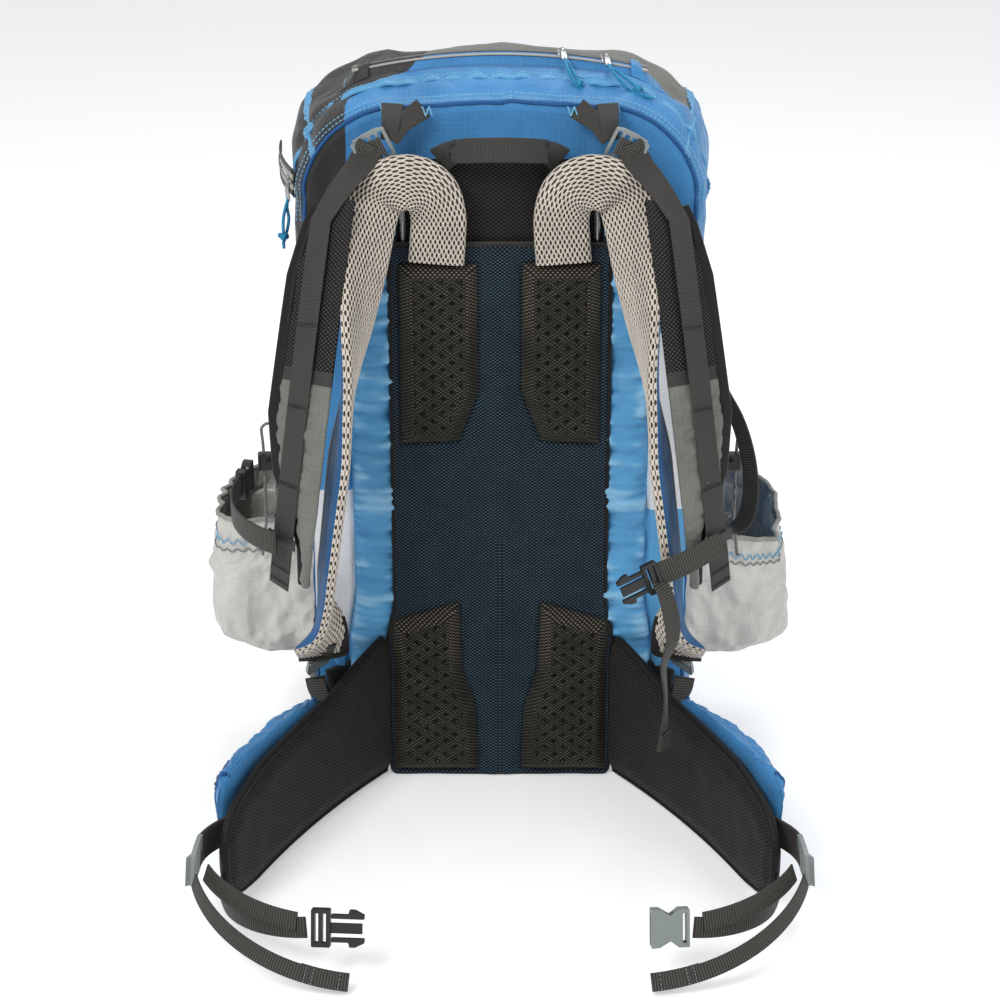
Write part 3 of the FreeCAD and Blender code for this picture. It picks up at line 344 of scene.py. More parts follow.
def settle(P, wrap, pinned, pressure, growth, cap, steps=18, stiff=12.0):
    """Fills a sheet of points like padded fabric with Blender's cloth, and returns where they end up."""
    flat_uv = np.zeros((P.shape[0], P.shape[1] + 1, 2))
    obj = grid("settling", P, flat_uv, bpy.data.materials.new("settling"), wrap=wrap)
    group = obj.vertex_groups.new(name="pinned")
    for weight in np.unique(pinned[pinned > 0]):
        group.add(np.flatnonzero(pinned.ravel() == weight).tolist(), float(weight), "REPLACE")
    cloth = obj.modifiers.new("cloth", "CLOTH")
    settings = cloth.settings
    settings.quality = 5
    settings.mass = 0.25
    settings.tension_stiffness = stiff
    settings.compression_stiffness = stiff
    settings.shear_stiffness = stiff / 3
    settings.bending_stiffness = 0.35
    settings.tension_damping = 8
    settings.compression_damping = 8
    settings.air_damping = 4
    settings.use_pressure = True
    settings.uniform_pressure_force = pressure
    settings.shrink_min = -growth
    settings.vertex_group_mass = "pinned"
    settings.effector_weights.gravity = 0
    cloth.point_cache.frame_end = steps
    scene = bpy.context.scene
    for step in range(1, steps + 1):
        scene.frame_set(step)
    solved = obj.evaluated_get(bpy.context.evaluated_depsgraph_get()).to_mesh()
    moved = np.zeros(len(solved.vertices) * 3)
    solved.vertices.foreach_get("co", moved)
    moved = (moved.reshape(P.shape) - (0.0, BACK, 0.0)) / MM - P
    bpy.data.objects.remove(obj)
    scene.frame_set(1)
    far = np.linalg.norm(moved, axis=2, keepdims=True)
    return P + moved / np.maximum(far, 1e-9) * cap * np.tanh(far / cap)


def mark(obj, name, values):
    """A number for each point of a piece, which its material can read."""
    layer = obj.data.attributes.new(name, "FLOAT", "POINT")
    layer.data.foreach_set("value", values.ravel().astype(np.float32))


def dress(obj, body, slot, *nodes):
    """The piece rides on a body and stands for these CAD nodes. The slot is not used."""
    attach(obj, body)
    if nodes:
        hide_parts(*nodes)
    return obj


# ---------------------------------------------------------------- materials


def paint(red, green, blue):
    """A colour from the 0 to 255 values of a screen."""
    def linear(c):
        c = c / 255
        return c / 12.92 if c < 0.04045 else ((c + 0.055) / 1.055) ** 2.4
    return (linear(red), linear(green), linear(blue), 1.0)


def toned(colour, times, lift=0.0):
    """A colour made darker or lighter."""
    return tuple(min(1.0, c * times + lift) for c in colour[:3]) + (1,)


class Look:
    """A procedural material. Patterns are laid out in millimetres."""

    def __init__(self, name, rough=0.6, metal=0.0, sheen=0.0, specular=0.22):
        self.material = bpy.data.materials.new(name)
        self.material.use_nodes = True
        self.tree = self.material.node_tree
        self.shader = self.tree.nodes["Principled BSDF"]
        self.height = None
        self.put("Metallic", metal)
        self.put("Roughness", rough)
        self.put("Sheen Weight", sheen)
        self.put("Sheen Roughness", 0.4)
        self.put("Specular IOR Level", specular)

    def wire(self, value, socket):
        if hasattr(value, "is_linked"):
            self.tree.links.new(value, socket)
        else:
            socket.default_value = value

    def put(self, name, value):
        self.wire(value, self.shader.inputs[name])

    def calc(self, operation, *values):
        node = self.tree.nodes.new("ShaderNodeMath")
        node.operation = operation
        for value, socket in zip(values, node.inputs):
            self.wire(value, socket)
        return node.outputs[0]

    def mix(self, share, first, second):
        node = self.tree.nodes.new("ShaderNodeMix")
        node.data_type = "RGBA"
        self.wire(share, node.inputs[0])
        self.wire(first, node.inputs[6])
        self.wire(second, node.inputs[7])
        return node.outputs[2]

    def span(self, value, low, high, start=0.0, end=1.0):
        """Carries a value from low..high smoothly to start..end."""
        node = self.tree.nodes.new("ShaderNodeMapRange")
        node.interpolation_type = "SMOOTHSTEP"
        for index, given in enumerate((value, low, high, start, end)):
            self.wire(given, node.inputs[index])
        return node.outputs[0]

    def position(self):
        return self.tree.nodes.new("ShaderNodeTexCoord").outputs["Object"]

    def uv(self):
        """Distances across and along the piece, in millimetres."""
        split = self.tree.nodes.new("ShaderNodeSeparateXYZ")
        self.wire(self.tree.nodes.new("ShaderNodeTexCoord").outputs["UV"], split.inputs[0])
        return self.calc("MULTIPLY", split.outputs[0], 1000), self.calc("MULTIPLY", split.outputs[1], 1000)

    def noise(self, size, detail=2.0, stretch=None):
        """Noise whose lumps are about so many millimetres."""
        node = self.tree.nodes.new("ShaderNodeTexNoise")
        node.inputs["Scale"].default_value = 1000 / size
        node.inputs["Detail"].default_value = detail
        vector = self.position()
        if stretch:
            mapping = self.tree.nodes.new("ShaderNodeMapping")
            mapping.inputs["Scale"].default_value = stretch
            self.wire(vector, mapping.inputs["Vector"])
            vector = mapping.outputs[0]
        self.wire(vector, node.inputs["Vector"])
        return node.outputs[0]

    def attribute(self, name):
        node = self.tree.nodes.new("ShaderNodeAttribute")
        node.attribute_name = name
        return node.outputs["Fac"]

    def wave(self, value, pitch):
        """0 at each line of a ruling and 1 half way between lines."""
        part = self.calc("FRACT", self.calc("DIVIDE", value, pitch))
        return self.calc("MULTIPLY", self.calc("ABSOLUTE", self.calc("SUBTRACT", part, 0.5)), 2.0)

    def lattice(self, u, v, pitch_u, pitch_v, reach_u, reach_v):
        """How far a point is from the nearest spot of a staggered lattice: 1 at the spot's edge."""
        near = None
        for shift in (0.0, 0.5):
            spans = []
            for value, pitch, reach in ((u, pitch_u, reach_u), (v, pitch_v, reach_v)):
                part = self.calc("FRACT", self.calc("ADD", self.calc("DIVIDE", value, pitch), shift))
                offset = self.calc("MULTIPLY", self.calc("SUBTRACT", part, 0.5), pitch / reach)
                spans.append(self.calc("MULTIPLY", offset, offset))
            far = self.calc("SQRT", self.calc("ADD", *spans))
            near = far if near is None else self.calc("MINIMUM", near, far)
        return near

    def raise_by(self, value, high):
        """Adds a value of 0 to 1 to the surface's height, in millimetres."""
        part = self.calc("MULTIPLY", value, high)
        self.height = part if self.height is None else self.calc("ADD", self.height, part)

    def patches(self, size):
        """Soft patches for uneven dye, 0 to 1."""
        return self.span(self.noise(size, 3), 0.3, 0.7)

    def done(self, colour):
        self.put("Base Color", colour)
        if self.height is not None:
            bump = self.tree.nodes.new("ShaderNodeBump")
            bump.inputs["Distance"].default_value = MM
            bump.inputs["Strength"].default_value = 1.0
            self.wire(self.height, bump.inputs["Height"])
            self.wire(bump.outputs[0], self.shader.inputs["Normal"])
        return self.material


def ripstop(name, colour, line, pitch=4.6, sheen=0.25, rough=0.5, other=None, crease_shading=False):
    """Thin woven nylon with a raised check, faint crinkles and uneven dye.

    It may change to another colour, and creases may get a painted highlight on their crests and painted shade
    in their hollows.
    """
    look = Look(name, rough=rough, sheen=sheen)
    faded = toned(colour, 0.80)
    if other:
        part = look.span(look.attribute("charcoal"), -0.4, 0.4)
        faded = look.mix(part, faded, toned(other[0], 0.80))
        colour = look.mix(part, colour, other[0])
        line = look.mix(part, line, other[1])
    u, v = look.uv()
    check = look.calc("MAXIMUM", *(look.span(look.wave(w, pitch), 0.80, 0.96) for w in (u, v)))
    weave = look.calc("MULTIPLY", look.wave(u, 0.55), look.wave(v, 0.55))
    off_middle = look.calc("ABSOLUTE", look.calc("SUBTRACT", look.noise(26, 3), 0.5))
    crease = look.span(off_middle, 0.0, 0.12, 1.0, 0.0)
    tone = look.mix(look.patches(70), colour, faded)
    tone = look.mix(look.calc("MULTIPLY", check, 0.26), tone, line)
    if crease_shading:
        # Painted highlight on the crests of the creases and painted shade in their hollows.
        crest = look.span(look.attribute("crease"), 0.05, 1.0, 0.0, 0.55)
        hollow_shade = look.span(look.attribute("crease"), -0.05, -1.0, 0.0, 0.5)
        tone = look.mix(crest, tone, paint(160, 208, 236))
        tone = look.mix(hollow_shade, tone, paint(60, 126, 178))
    tone = look.mix(look.calc("MULTIPLY", look.noise(1.2, 1), 0.16), tone, paint(10, 14, 20))
    look.raise_by(check, 0.10)
    look.raise_by(weave, 0.05)
    look.raise_by(look.noise(9, 3), 0.35)
    look.raise_by(crease, 0.22)
    look.put("Roughness", look.span(look.noise(30, 2), 0.3, 0.7, rough - 0.08, rough + 0.1))
    return look.done(tone)


def spacer_mesh(name, thread, shade, pitch=(3.6, 2.6), reach=(0.95, 0.62), deep=0.5):
    """Knitted spacer mesh: staggered holes in a fuzzy knit."""
    look = Look(name, rough=0.75, sheen=0.03)
    u, v = look.uv()
    far = look.lattice(u, v, *pitch, *reach)
    hole = look.span(far, 0.75, 1.15, 1.0, 0.0)
    knit = look.calc("MULTIPLY", look.wave(u, 0.8), look.wave(v, 0.7))
    tone = look.mix(look.patches(14), thread, toned(thread, 0.78))
    tone = look.mix(look.calc("MULTIPLY", knit, 0.25), tone, toned(thread, 1.35))
    tone = look.mix(hole, tone, shade)
    look.raise_by(hole, -deep)
    look.raise_by(knit, 0.10)
    return look.done(tone)


def back_mesh():
    """The back panel's mesh: navy in the channel and brown-black over the pads, with paler knots, a painted
    highlight on the knots of the pads' upper slopes and painted shade in the foam's perforations.
    """
    look = Look("back_mesh", rough=0.8, sheen=0.03)
    u, v = look.uv()
    padded = look.attribute("padded")
    far = look.lattice(u, v, 3.7, 2.7, 0.95, 0.50)
    dot = look.span(far, 0.65, 1.2, 1.0, 0.0)
    patch = look.span(look.noise(16, 3), 0.35, 0.65)
    ground = look.mix(padded, paint(9, 13, 19), paint(24, 22, 20))
    knots = look.mix(padded, paint(64, 94, 110), paint(84, 82, 68))
    knots = look.mix(patch, knots, look.mix(padded, paint(56, 82, 100), paint(66, 65, 53)))
    # Painted highlight: knots on the upper slopes of the pads are paler, as if lit from above.
    slope_highlight = look.attribute("slanted")
    knots = look.mix(look.calc("MULTIPLY", slope_highlight, 0.6), knots, paint(140, 130, 112))
    tone = look.mix(dot, ground, knots)
    # Painted shade: the mesh over the foam's perforations is darkened almost to black.
    pit = look.attribute("pitted")
    tone = look.mix(look.calc("MULTIPLY", pit, 0.8), tone, paint(10, 10, 10))
    look.raise_by(dot, 0.45)
    look.raise_by(look.noise(1.4, 2), 0.12)
    return look.done(tone)


def strap_mesh(name, thread, shade):
    """Pale knitted mesh with long staggered holes that match the pits in the surface."""
    look = Look(name, rough=0.7, sheen=0.25)
    u, v = look.uv()
    far = look.lattice(u, v, HOLE_U, HOLE_V, HOLE_U * HOLE_WIDE, HOLE_V * HOLE_TALL)
    hole = look.span(far, 0.7, 1.15, 1.0, 0.0)
    rim = look.span(look.calc("ABSOLUTE", look.calc("SUBTRACT", far, 1.35)), 0.0, 0.4, 1.0, 0.0)
    knit = look.calc("MULTIPLY", look.wave(u, 0.9), look.wave(v, 0.75))
    tone = look.mix(look.patches(18), thread, toned(thread, 0.82))
    tone = look.mix(look.calc("MULTIPLY", knit, 0.35), tone, toned(thread, 0.7))
    tone = look.mix(look.calc("MULTIPLY", rim, 0.3), tone, paint(244, 236, 228))
    tone = look.mix(hole, tone, shade)
    look.raise_by(hole, -0.7)
    look.raise_by(rim, 0.18)
    look.raise_by(knit, 0.14)
    return look.done(tone)


def webbing(name, colour, rib):
    """Woven webbing: slanted ribs across it and a fine twill in them, with a painted highlight on the rib
    crests, the twill and random patches, and painted shade in the grooves between ribs.
    """
    look = Look(name, rough=0.62, sheen=0.04)
    u, v = look.uv()
    ribs = look.wave(v, rib)
    twill = look.wave(look.calc("ADD", v, look.calc("MULTIPLY", look.wave(u, 3.6), 2.2)), 1.1)
    # light is a painted highlight and dark is painted shade in the grooves between ribs.
    light = toned(colour, 3.4, 0.012)
    dark = toned(colour, 0.35)
    tone = look.mix(look.span(ribs, 0.25, 0.8), light, dark)
    tone = look.mix(look.calc("MULTIPLY", look.span(twill, 0.5, 1.0), 0.5), tone, light)
    tone = look.mix(look.calc("MULTIPLY", look.noise(6, 3), 0.25), tone, light)
    look.raise_by(ribs, -0.22)
    look.raise_by(twill, 0.08)
    look.raise_by(look.noise(1.0, 2), 0.06)
    return look.done(tone)


def grosgrain(name, colour, rib=1.0):
    """Ribbon binding with fine ribs and a soft shine."""
    look = Look(name, rough=0.55, sheen=0.04)
    _, v = look.uv()
    ribs = look.wave(v, rib)
    tone = look.mix(look.span(ribs, 0.3, 0.9), colour, toned(colour, 0.6))
    tone = look.mix(look.calc("MULTIPLY", look.noise(12, 3), 0.3), tone,
                    toned(colour, 1.6, 0.003))
    look.raise_by(ribs, -0.12)
    look.raise_by(look.noise(7, 2), 0.2)
    return look.done(tone)


def plastic(name, colour, rough):
    """Moulded acetal with a fine texture, flow marks and rubbed edges."""
    look = Look(name, rough=rough, specular=0.5)
    worn = look.span(look.noise(5, 4), 0.55, 0.75)
    light = toned(colour, 1.25, 0.01)
    tone = look.mix(look.calc("MULTIPLY", worn, 0.35), colour, light)
    tone = look.mix(look.calc("MULTIPLY", look.noise(22, 2), 0.18), tone, toned(colour, 0.7))
    look.put("Roughness", look.span(look.noise(3, 3), 0.3, 0.7, rough - 0.06, rough + 0.12))
    look.raise_by(look.noise(0.5, 2), 0.03)
    return look.done(tone)


def metal(name, colour, rough=0.32):
    """Drawn or cast alloy with faint scratches."""
    look = Look(name, rough=rough, metal=1.0)
    drawn = look.noise(2.5, 3, (1, 1, 0.08))
    tone = look.mix(look.calc("MULTIPLY", drawn, 0.4), colour, toned(colour, 0.6))
    look.put("Roughness", look.span(drawn, 0.3, 0.7, rough - 0.08, rough + 0.12))
    look.raise_by(look.noise(0.7, 2), 0.02)
    return look.done(tone)


def braid(name, colour, fleck):
    """Round braided cord with flecks of a second colour."""
    look = Look(name, rough=0.6, sheen=0.3)
    u, v = look.uv()
    one = look.wave(look.calc("ADD", u, v), 1.3)
    two = look.wave(look.calc("SUBTRACT", u, v), 1.3)
    cross = look.calc("MAXIMUM", one, two)
    tone = look.mix(look.span(cross, 0.6, 1.0), colour, toned(colour, 0.5))
    tone = look.mix(look.span(look.noise(1.6, 1), 0.58, 0.68), tone, fleck)
    look.raise_by(cross, -0.2)
    return look.done(tone)


def thread_look(name, colour):
    """Twisted sewing thread."""
    look = Look(name, rough=0.5, sheen=0.4)
    twist = look.noise(0.6, 2)
    tone = look.mix(look.span(twist, 0.35, 0.7), colour, toned(colour, 0.6))
    look.raise_by(twist, 0.1)
    return look.done(tone)


def tape(name, colour):
    """Zip tape: a flat herringbone."""
    look = Look(name, rough=0.6, sheen=0.2)
    u, v = look.uv()
    herring = look.wave(look.calc("ADD", v, look.calc("MULTIPLY", look.wave(u, 2.4), 1.2)), 0.8)
    tone = look.mix(look.span(herring, 0.3, 0.9), colour, toned(colour, 0.72))
    look.raise_by(herring, -0.08)
    look.raise_by(look.noise(10, 2), 0.2)
    return look.done(tone)


# Pitch of the strap mesh's holes and their size as shares of it.
HOLE_U, HOLE_V = 4.3, 7.6
HOLE_WIDE, HOLE_TALL = 0.235, 0.27

DARK = (paint(58, 57, 57), paint(78, 76, 75))
BLUES = (paint(69, 139, 197), paint(94, 163, 216))
STONES = (paint(118, 119, 112), paint(144, 145, 136))
BLUE = ripstop("blue_ripstop", *BLUES, rough=0.44, sheen=0.15)
TOP_BLUE = ripstop("blue_top", *BLUES, rough=0.44, sheen=0.15, other=DARK)
BLUE_SMOOTH = ripstop(
    "blue_taffeta", paint(88, 160, 210), paint(108, 177, 221), pitch=3.4, rough=0.46, crease_shading=True)
CHARCOAL = ripstop("charcoal_ripstop", *DARK, sheen=0.1)
PALE = ripstop("pale_ripstop", paint(212, 209, 202), paint(232, 230, 225), pitch=4.0, sheen=0.2)
STONE = ripstop("stone_ripstop", *STONES, pitch=4.0, sheen=0.1)
TOP_STONE = ripstop("stone_top", *STONES, pitch=4.0, sheen=0.1, other=DARK)
WHITE = ripstop("white_ripstop", paint(222, 224, 228), paint(238, 238, 240), pitch=4.0)
BACK_MESH = back_mesh()
WING_MESH = spacer_mesh(
    "wing_mesh", paint(52, 50, 46), paint(6, 6, 6), pitch=(4.4, 3.2), reach=(1.3, 0.9), deep=0.8)
STRAP_MESH = strap_mesh("strap_mesh", paint(205, 193, 177), paint(50, 45, 40))
OPEN_MESH = spacer_mesh(
    "open_mesh", paint(24, 24, 24), paint(84, 82, 78), pitch=(3.8, 3.2), reach=(0.75, 0.55))
POCKET_MESH = spacer_mesh(
    "pocket_mesh", paint(196, 194, 188), paint(132, 130, 124), pitch=(2.2, 2.2), reach=(0.5, 0.5))
NAVY = ripstop("navy_cloth", paint(36, 92, 142), paint(46, 106, 158), pitch=3.0, sheen=0.0, rough=0.6)
BLACK_CLOTH = ripstop("black_cloth", paint(26, 26, 28), paint(34, 34, 36), pitch=2.4, sheen=0.1)
WEB_BLACK = webbing("black_webbing", paint(37, 36, 33), rib=2.1)
WEB_SOFT = webbing("smooth_webbing", paint(35, 34, 32), rib=1.0)
BINDING = grosgrain("black_binding", paint(22, 21, 21), rib=2.2)
BINDING_GREY = grosgrain("grey_binding", paint(66, 66, 66), rib=2.0)
BINDING_PALE = grosgrain("pale_binding", paint(150, 148, 143), rib=2.0)
BINDING_BLUE = grosgrain("blue_binding", paint(34, 84, 140))
ZIP_TAPE = tape("grey_zip_tape", paint(172, 168, 160))
ZIP_COIL = plastic("zip_coil", paint(120, 122, 124), 0.3)
GREY_PLASTIC = plastic("grey_plastic", paint(128, 136, 134), 0.42)
BLACK_PLASTIC = plastic("black_plastic", paint(30, 30, 31), 0.4)
SHEET_PLASTIC = plastic("sheet_plastic", paint(22, 22, 23), 0.5)
SILVER = metal("slider_metal", paint(168, 170, 172))
ALLOY = metal("stay_alloy", paint(178, 176, 170), 0.38)
CYAN_CORD = braid("cyan_cord", paint(44, 150, 196), paint(20, 90, 140))
GREY_CORD = braid("grey_cord", paint(128, 128, 126), paint(40, 40, 42))
THREAD = thread_look("pale_blue_thread", paint(122, 188, 222))
THREAD_GREY = thread_look("grey_thread", paint(120, 122, 124))
THREAD_BLACK = thread_look("black_thread", paint(18, 18, 18))


# ---------------------------------------------------------------- bag

# Upright outlines of the bag: depth, half width, low, top, low rounding, top rounding, crown radius.
OUTLINES = np.array([
    (14, 150, 1, 566, 88, 72, 700),
    (60, 166, 1, 588, 98, 92, 560),
    (150, 174, 1, 590, 104, 98, 520),
    (222, 130, 62, 556, 72, 82, 500),
], float)
LOOP_HALF = 92
WALL_ROWS = 30
CAP_ROWS = 15
NEAR_DEPTH, FAR_DEPTH = 14, 222
FAR_BULGE = 7
BAG_HEART = np.array([0, 110, 300])
CAP_HOLE = 0.002
ZIP_DEPTH = 69


def outline(depth):
    """The numbers of the bag's outline at a depth, with the CAD outlines' corners smoothed."""
    depths = np.linspace(NEAR_DEPTH, FAR_DEPTH, 105)
    table = np.stack([np.interp(depths, OUTLINES[:, 0], OUTLINES[:, k]) for k in range(1, 7)], axis=1)
    for _ in range(130):
        table[1:-1] = (table[:-2] + 2 * table[1:-1] + table[2:]) / 4
    return [np.interp(depth, depths, column) for column in table.T]


def half_loop(depth):
    """The left half of the outline at a depth, from the middle of its floor up to the middle of its top."""
    half, low, top, low_round, top_round, crown = outline(depth)
    turn = np.radians(np.linspace(-90, 0, 14))
    points = [(x, low) for x in np.linspace(0, half - low_round, 6, endpoint=False)]
    inner, centre = half - low_round, low + low_round
    points += [(inner + low_round * math.cos(t), centre + low_round * math.sin(t)) for t in turn]
    shoulder = half - top_round
    drop = crown - math.sqrt(crown**2 - shoulder**2)
    centre = top - drop - top_round
    points += [(half, z) for z in np.linspace(low + low_round, centre, 12)[1:-1]]
    points += [(shoulder + top_round * math.cos(t), centre + top_round * math.sin(t)) for t in -turn[::-1]]
    points += [(x, top - crown + math.sqrt(crown**2 - x**2)) for x in np.linspace(shoulder, 0, 8)[1:]]
    flat = np.array([(x, depth, z) for x, z in points])
    return resample(flat, LOOP_HALF + 1)


def loop(depth, shrink=1.0):
    """One closed loop of the bag, drawn in towards its middle by shrink."""
    left = half_loop(depth)
    whole = np.concatenate([left, (left[1:-1] * (-1, 1, 1))[::-1]])
    heart = np.array([0, depth, whole[:, 2].mean()])
    return heart + (whole - heart) * shrink


def bag_points():
    """Loops from the middle of the harness side round to the middle of the far side."""
    rows = []
    for step in np.linspace(0, 1, CAP_ROWS, endpoint=False):
        rows.append(loop(NEAR_DEPTH, CAP_HOLE + (1 - CAP_HOLE) * step**0.8))
    depths = NEAR_DEPTH + (FAR_DEPTH - NEAR_DEPTH) * np.linspace(0, 1, WALL_ROWS)
    rows += [loop(depth) for depth in depths]
    for step in np.linspace(0, 1, CAP_ROWS)[1:]:
        bulge = loop(FAR_DEPTH, math.cos(step * math.pi / 2) * (1 - CAP_HOLE) + CAP_HOLE)
        bulge[:, 1] += FAR_BULGE * math.sin(step * math.pi / 2)
        rows.append(bulge)
    return np.array(rows)


def bag_rows():
    """Row numbers of the harness edge, the top seam, the zip's two sides and the far edge."""
    first = CAP_ROWS
    rows = {"edge": first, "far": first + WALL_ROWS - 1}
    for name, depth in (("seam", 42), ("zip_near", 57), ("zip_far", 79)):
        rows[name] = first + round((depth - NEAR_DEPTH) / (FAR_DEPTH - NEAR_DEPTH) * (WALL_ROWS - 1))
    return rows


def bag_columns():
    """Columns of the side seams, counted from the middle of the floor up the wearer's left."""
    return {"floor": 17, "shoulder": 74}


def settle_bag(P):
    """The bag filled and slack between its seams, with folds near the top."""
    rows, cols = bag_rows(), bag_columns()
    pinned = np.zeros(P.shape[:2])
    pinned[: CAP_ROWS - 2] = 1.0
    for name in ("edge", "seam", "far"):
        pinned[rows[name]] = 0.9
    total = P.shape[1]
    for c in (cols["shoulder"], total - cols["shoulder"]):
        pinned[rows["edge"]: rows["far"], c] = 0.8
    top = np.abs(P[..., 0]) < 118
    zip_rows = slice(rows["zip_near"], rows["zip_far"] + 1)
    pinned[zip_rows] = np.where(top[zip_rows] & (P[zip_rows][..., 2] > 500), 1.0, pinned[zip_rows])
    pinned = np.where(P[..., 2] < 6, 1.0, pinned)
    settled = settle(P, True, pinned, 2.6, 0.035, 7.0)
    folds = -np.abs(noise_field(settled * (1, 0.8, 1), 34, 5.0, 2)) * 4.2 + 1.6
    folds = folds * ease((settled[..., 2] - 380) / 120)
    lumps = noise_field(settled, 60, 3.0) * 2.4 + noise_field(settled, 22, 9.0, 3) * 1.3 + folds
    free = np.clip(1 - pinned, 0.15, 1)[..., None] * (settled[..., 2:] > 4)
    outward = unit(settled - BAG_HEART)
    settled = settled + outward * lumps[..., None] * free
    settled[..., 2] = np.maximum(settled[..., 2], 0.6)
    return settled


def mark_charcoal(obj, P):
    """How far inside the charcoal right end of the top each point is, across a slanting boundary."""
    edge = np.clip(-118 + (P[..., 1] - 34) * 2.0, -118, -58)
    inside = np.where(P[..., 2] > 120, edge - P[..., 0], -50.0)
    mark(obj, "charcoal", inside)


def panel(name, P, uv, rows, cols, look):
    """One sewn panel of the bag: a window of its grid, with some thickness."""
    total = P.shape[1]
    picked = np.arange(cols[0], cols[1] + 1) % total
    window = np.arange(rows[0], rows[1] + 1)
    patch = P[np.ix_(window, picked)]
    part = grid(name, patch, uv[np.ix_(window, picked)], look)
    mark_charcoal(part, patch)
    smoother(part)
    thicken(part, 1.0)
    return part


def bag():
    """The sewn panels and their trim. Returns the bag's grid of points."""
    P = settle_bag(bag_points())
    uv = sheet_uv(P)
    rows, cols = bag_rows(), bag_columns()
    total = P.shape[1]
    shoulder, mirror = cols["shoulder"], total - cols["shoulder"]
    floor, far_floor = cols["floor"], total - cols["floor"]
    edge, far, near_zip, far_zip = (rows[name] for name in ("edge", "far", "zip_near", "zip_far"))
    wall = (edge, far)
    half_row = P[near_zip, :LOOP_HALF]
    zip_end = int(np.argmin(np.abs(half_row[:, 0] - 106) + (half_row[:, 2] < 400) * 999))
    pieces = (
        ("rear_skin", (0, edge), (0, total), TOP_BLUE, "shell_blue", ("rear_panel",)),
        ("left_side_skin", wall, (floor, shoulder), BLUE, "shell_blue", ("left_side_panel",)),
        ("right_side_skin", wall, (mirror, far_floor), CHARCOAL, "shell_charcoal", ("right_side_panel",)),
        ("floor_skin", wall, (far_floor, total + floor), CHARCOAL, "shell_charcoal", ("bottom_panel",)),
        ("top_rear_skin", (edge, near_zip), (shoulder, mirror), TOP_BLUE, "shell_blue", ("top_rear_panel",)),
        ("top_far_skin", (far_zip, far), (shoulder, mirror), TOP_STONE, "shell_blue", ("top_front_panel",)),
        ("top_left_filler", (near_zip, far_zip), (shoulder, zip_end), TOP_BLUE, "shell_blue", ()),
        ("top_right_filler", (near_zip, far_zip), (total - zip_end, mirror), TOP_BLUE, "shell_blue", ()),
        ("far_skin", (far, len(P) - 1), (0, total), CHARCOAL, "shell_charcoal", ("front_panel",)),
    )
    for name, window, span, look, slot, nodes in pieces:
        dress(panel(name, P, uv, window, span, look), "bag", slot, *nodes)
    bag_trim(P, rows, cols)
    return P


def outward_of(P, row, picked):
    """Surface directions of the bag's grid along a row."""
    along = np.gradient(P[row], axis=0)
    deeper = P[min(row + 1, len(P) - 1)] - P[max(row - 1, 0)]
    normal = unit(np.cross(along, deeper))
    sign = np.sign(((P[row] - BAG_HEART) * normal).sum(1))[:, None]
    return (normal * sign)[picked]


def bag_trim(P, rows, cols):
    """Piping, flat seams and stitching along the bag's seams."""
    total = P.shape[1]
    top = np.arange(cols["shoulder"] - 6, total - cols["shoulder"] + 7)
    around = np.arange(total + 1) % total
    pieces = []
    for name, picked, row in (("edge", around, rows["edge"]), ("far", around, rows["far"])):
        line = curve_through(P[row][picked], 420)
        out = curve_through(outward_of(P, row, picked), 420)[:, :3]
        dress(sweep(f"{name}_piping", line + out * 0.6, out, circle(1.5, 8), BINDING_BLUE), "bag", "webbing")
    row = rows["edge"]
    line = curve_through(P[row][top], 260)
    out = unit(curve_through(outward_of(P, row, top), 260))
    for shift in (3.4, 6.6):
        pieces.append(stitches("edge_stitches", line + out * 0.9, out, THREAD, 3.4, 2.5, shift=shift))
    row = rows["seam"]
    line = curve_through(P[row][top], 260)
    out = unit(curve_through(outward_of(P, row, top), 260))
    ruffle = np.sin(lengths(line) / 5.2)[:, None] * 0.7
    fold = sweep("top_seam_fold", line + out * (1.1 + ruffle * 0.5), out, band(9, 1.6), BLUE_SMOOTH)
    dress(fold, "bag", "shell_blue")
    for shift in (-2.9, 2.9):
        lifted = line + out * (1.9 + ruffle * 0.5)
        pieces.append(stitches("seam_stitches", lifted, out, THREAD, 3.4, 2.5, shift=shift))
    for c in (cols["shoulder"], total - cols["shoulder"]):
        side = P[rows["edge"]: rows["far"] + 1, c]
        out = unit(np.cross(np.gradient(side, axis=0), P[rows["edge"]: rows["far"] + 1, c + 1] - side))
        out = out * np.sign(((side - BAG_HEART) * out).sum(1))[:, None]
        line, fine = curve_through(side, 140), unit(curve_through(out, 140))
        name = "left" if c < total / 2 else "right"
        seam = sweep(f"{name}_side_seam", line + fine * 0.9, fine, band(7, 1.5), BLUE_SMOOTH)
        dress(seam, "bag", "shell_blue")
        for shift in (-2.2, 2.2):
            pieces.append(stitches("seam_stitches", line + fine * 1.5, fine, THREAD, shift=shift))
    dress(join("bag_stitches", *pieces), "bag", "zip_tape")


def surface_at(P, first, second, axis):
    """The bag's height along an axis over places given by their other two coordinates."""
    keep = [k for k in range(3) if k != axis]
    flat = P.reshape(-1, 3)
    found = []
    for a, b in zip(np.ravel(first), np.ravel(second)):
        away = np.hypot(flat[:, keep[0]] - a, flat[:, keep[1]] - b)
        near = np.argsort(away)[:5]
        weight = 1 / (away[near] + 0.5) ** 2
        found.append((flat[near, axis] * weight).sum() / weight.sum())
    return np.reshape(found, np.shape(first))


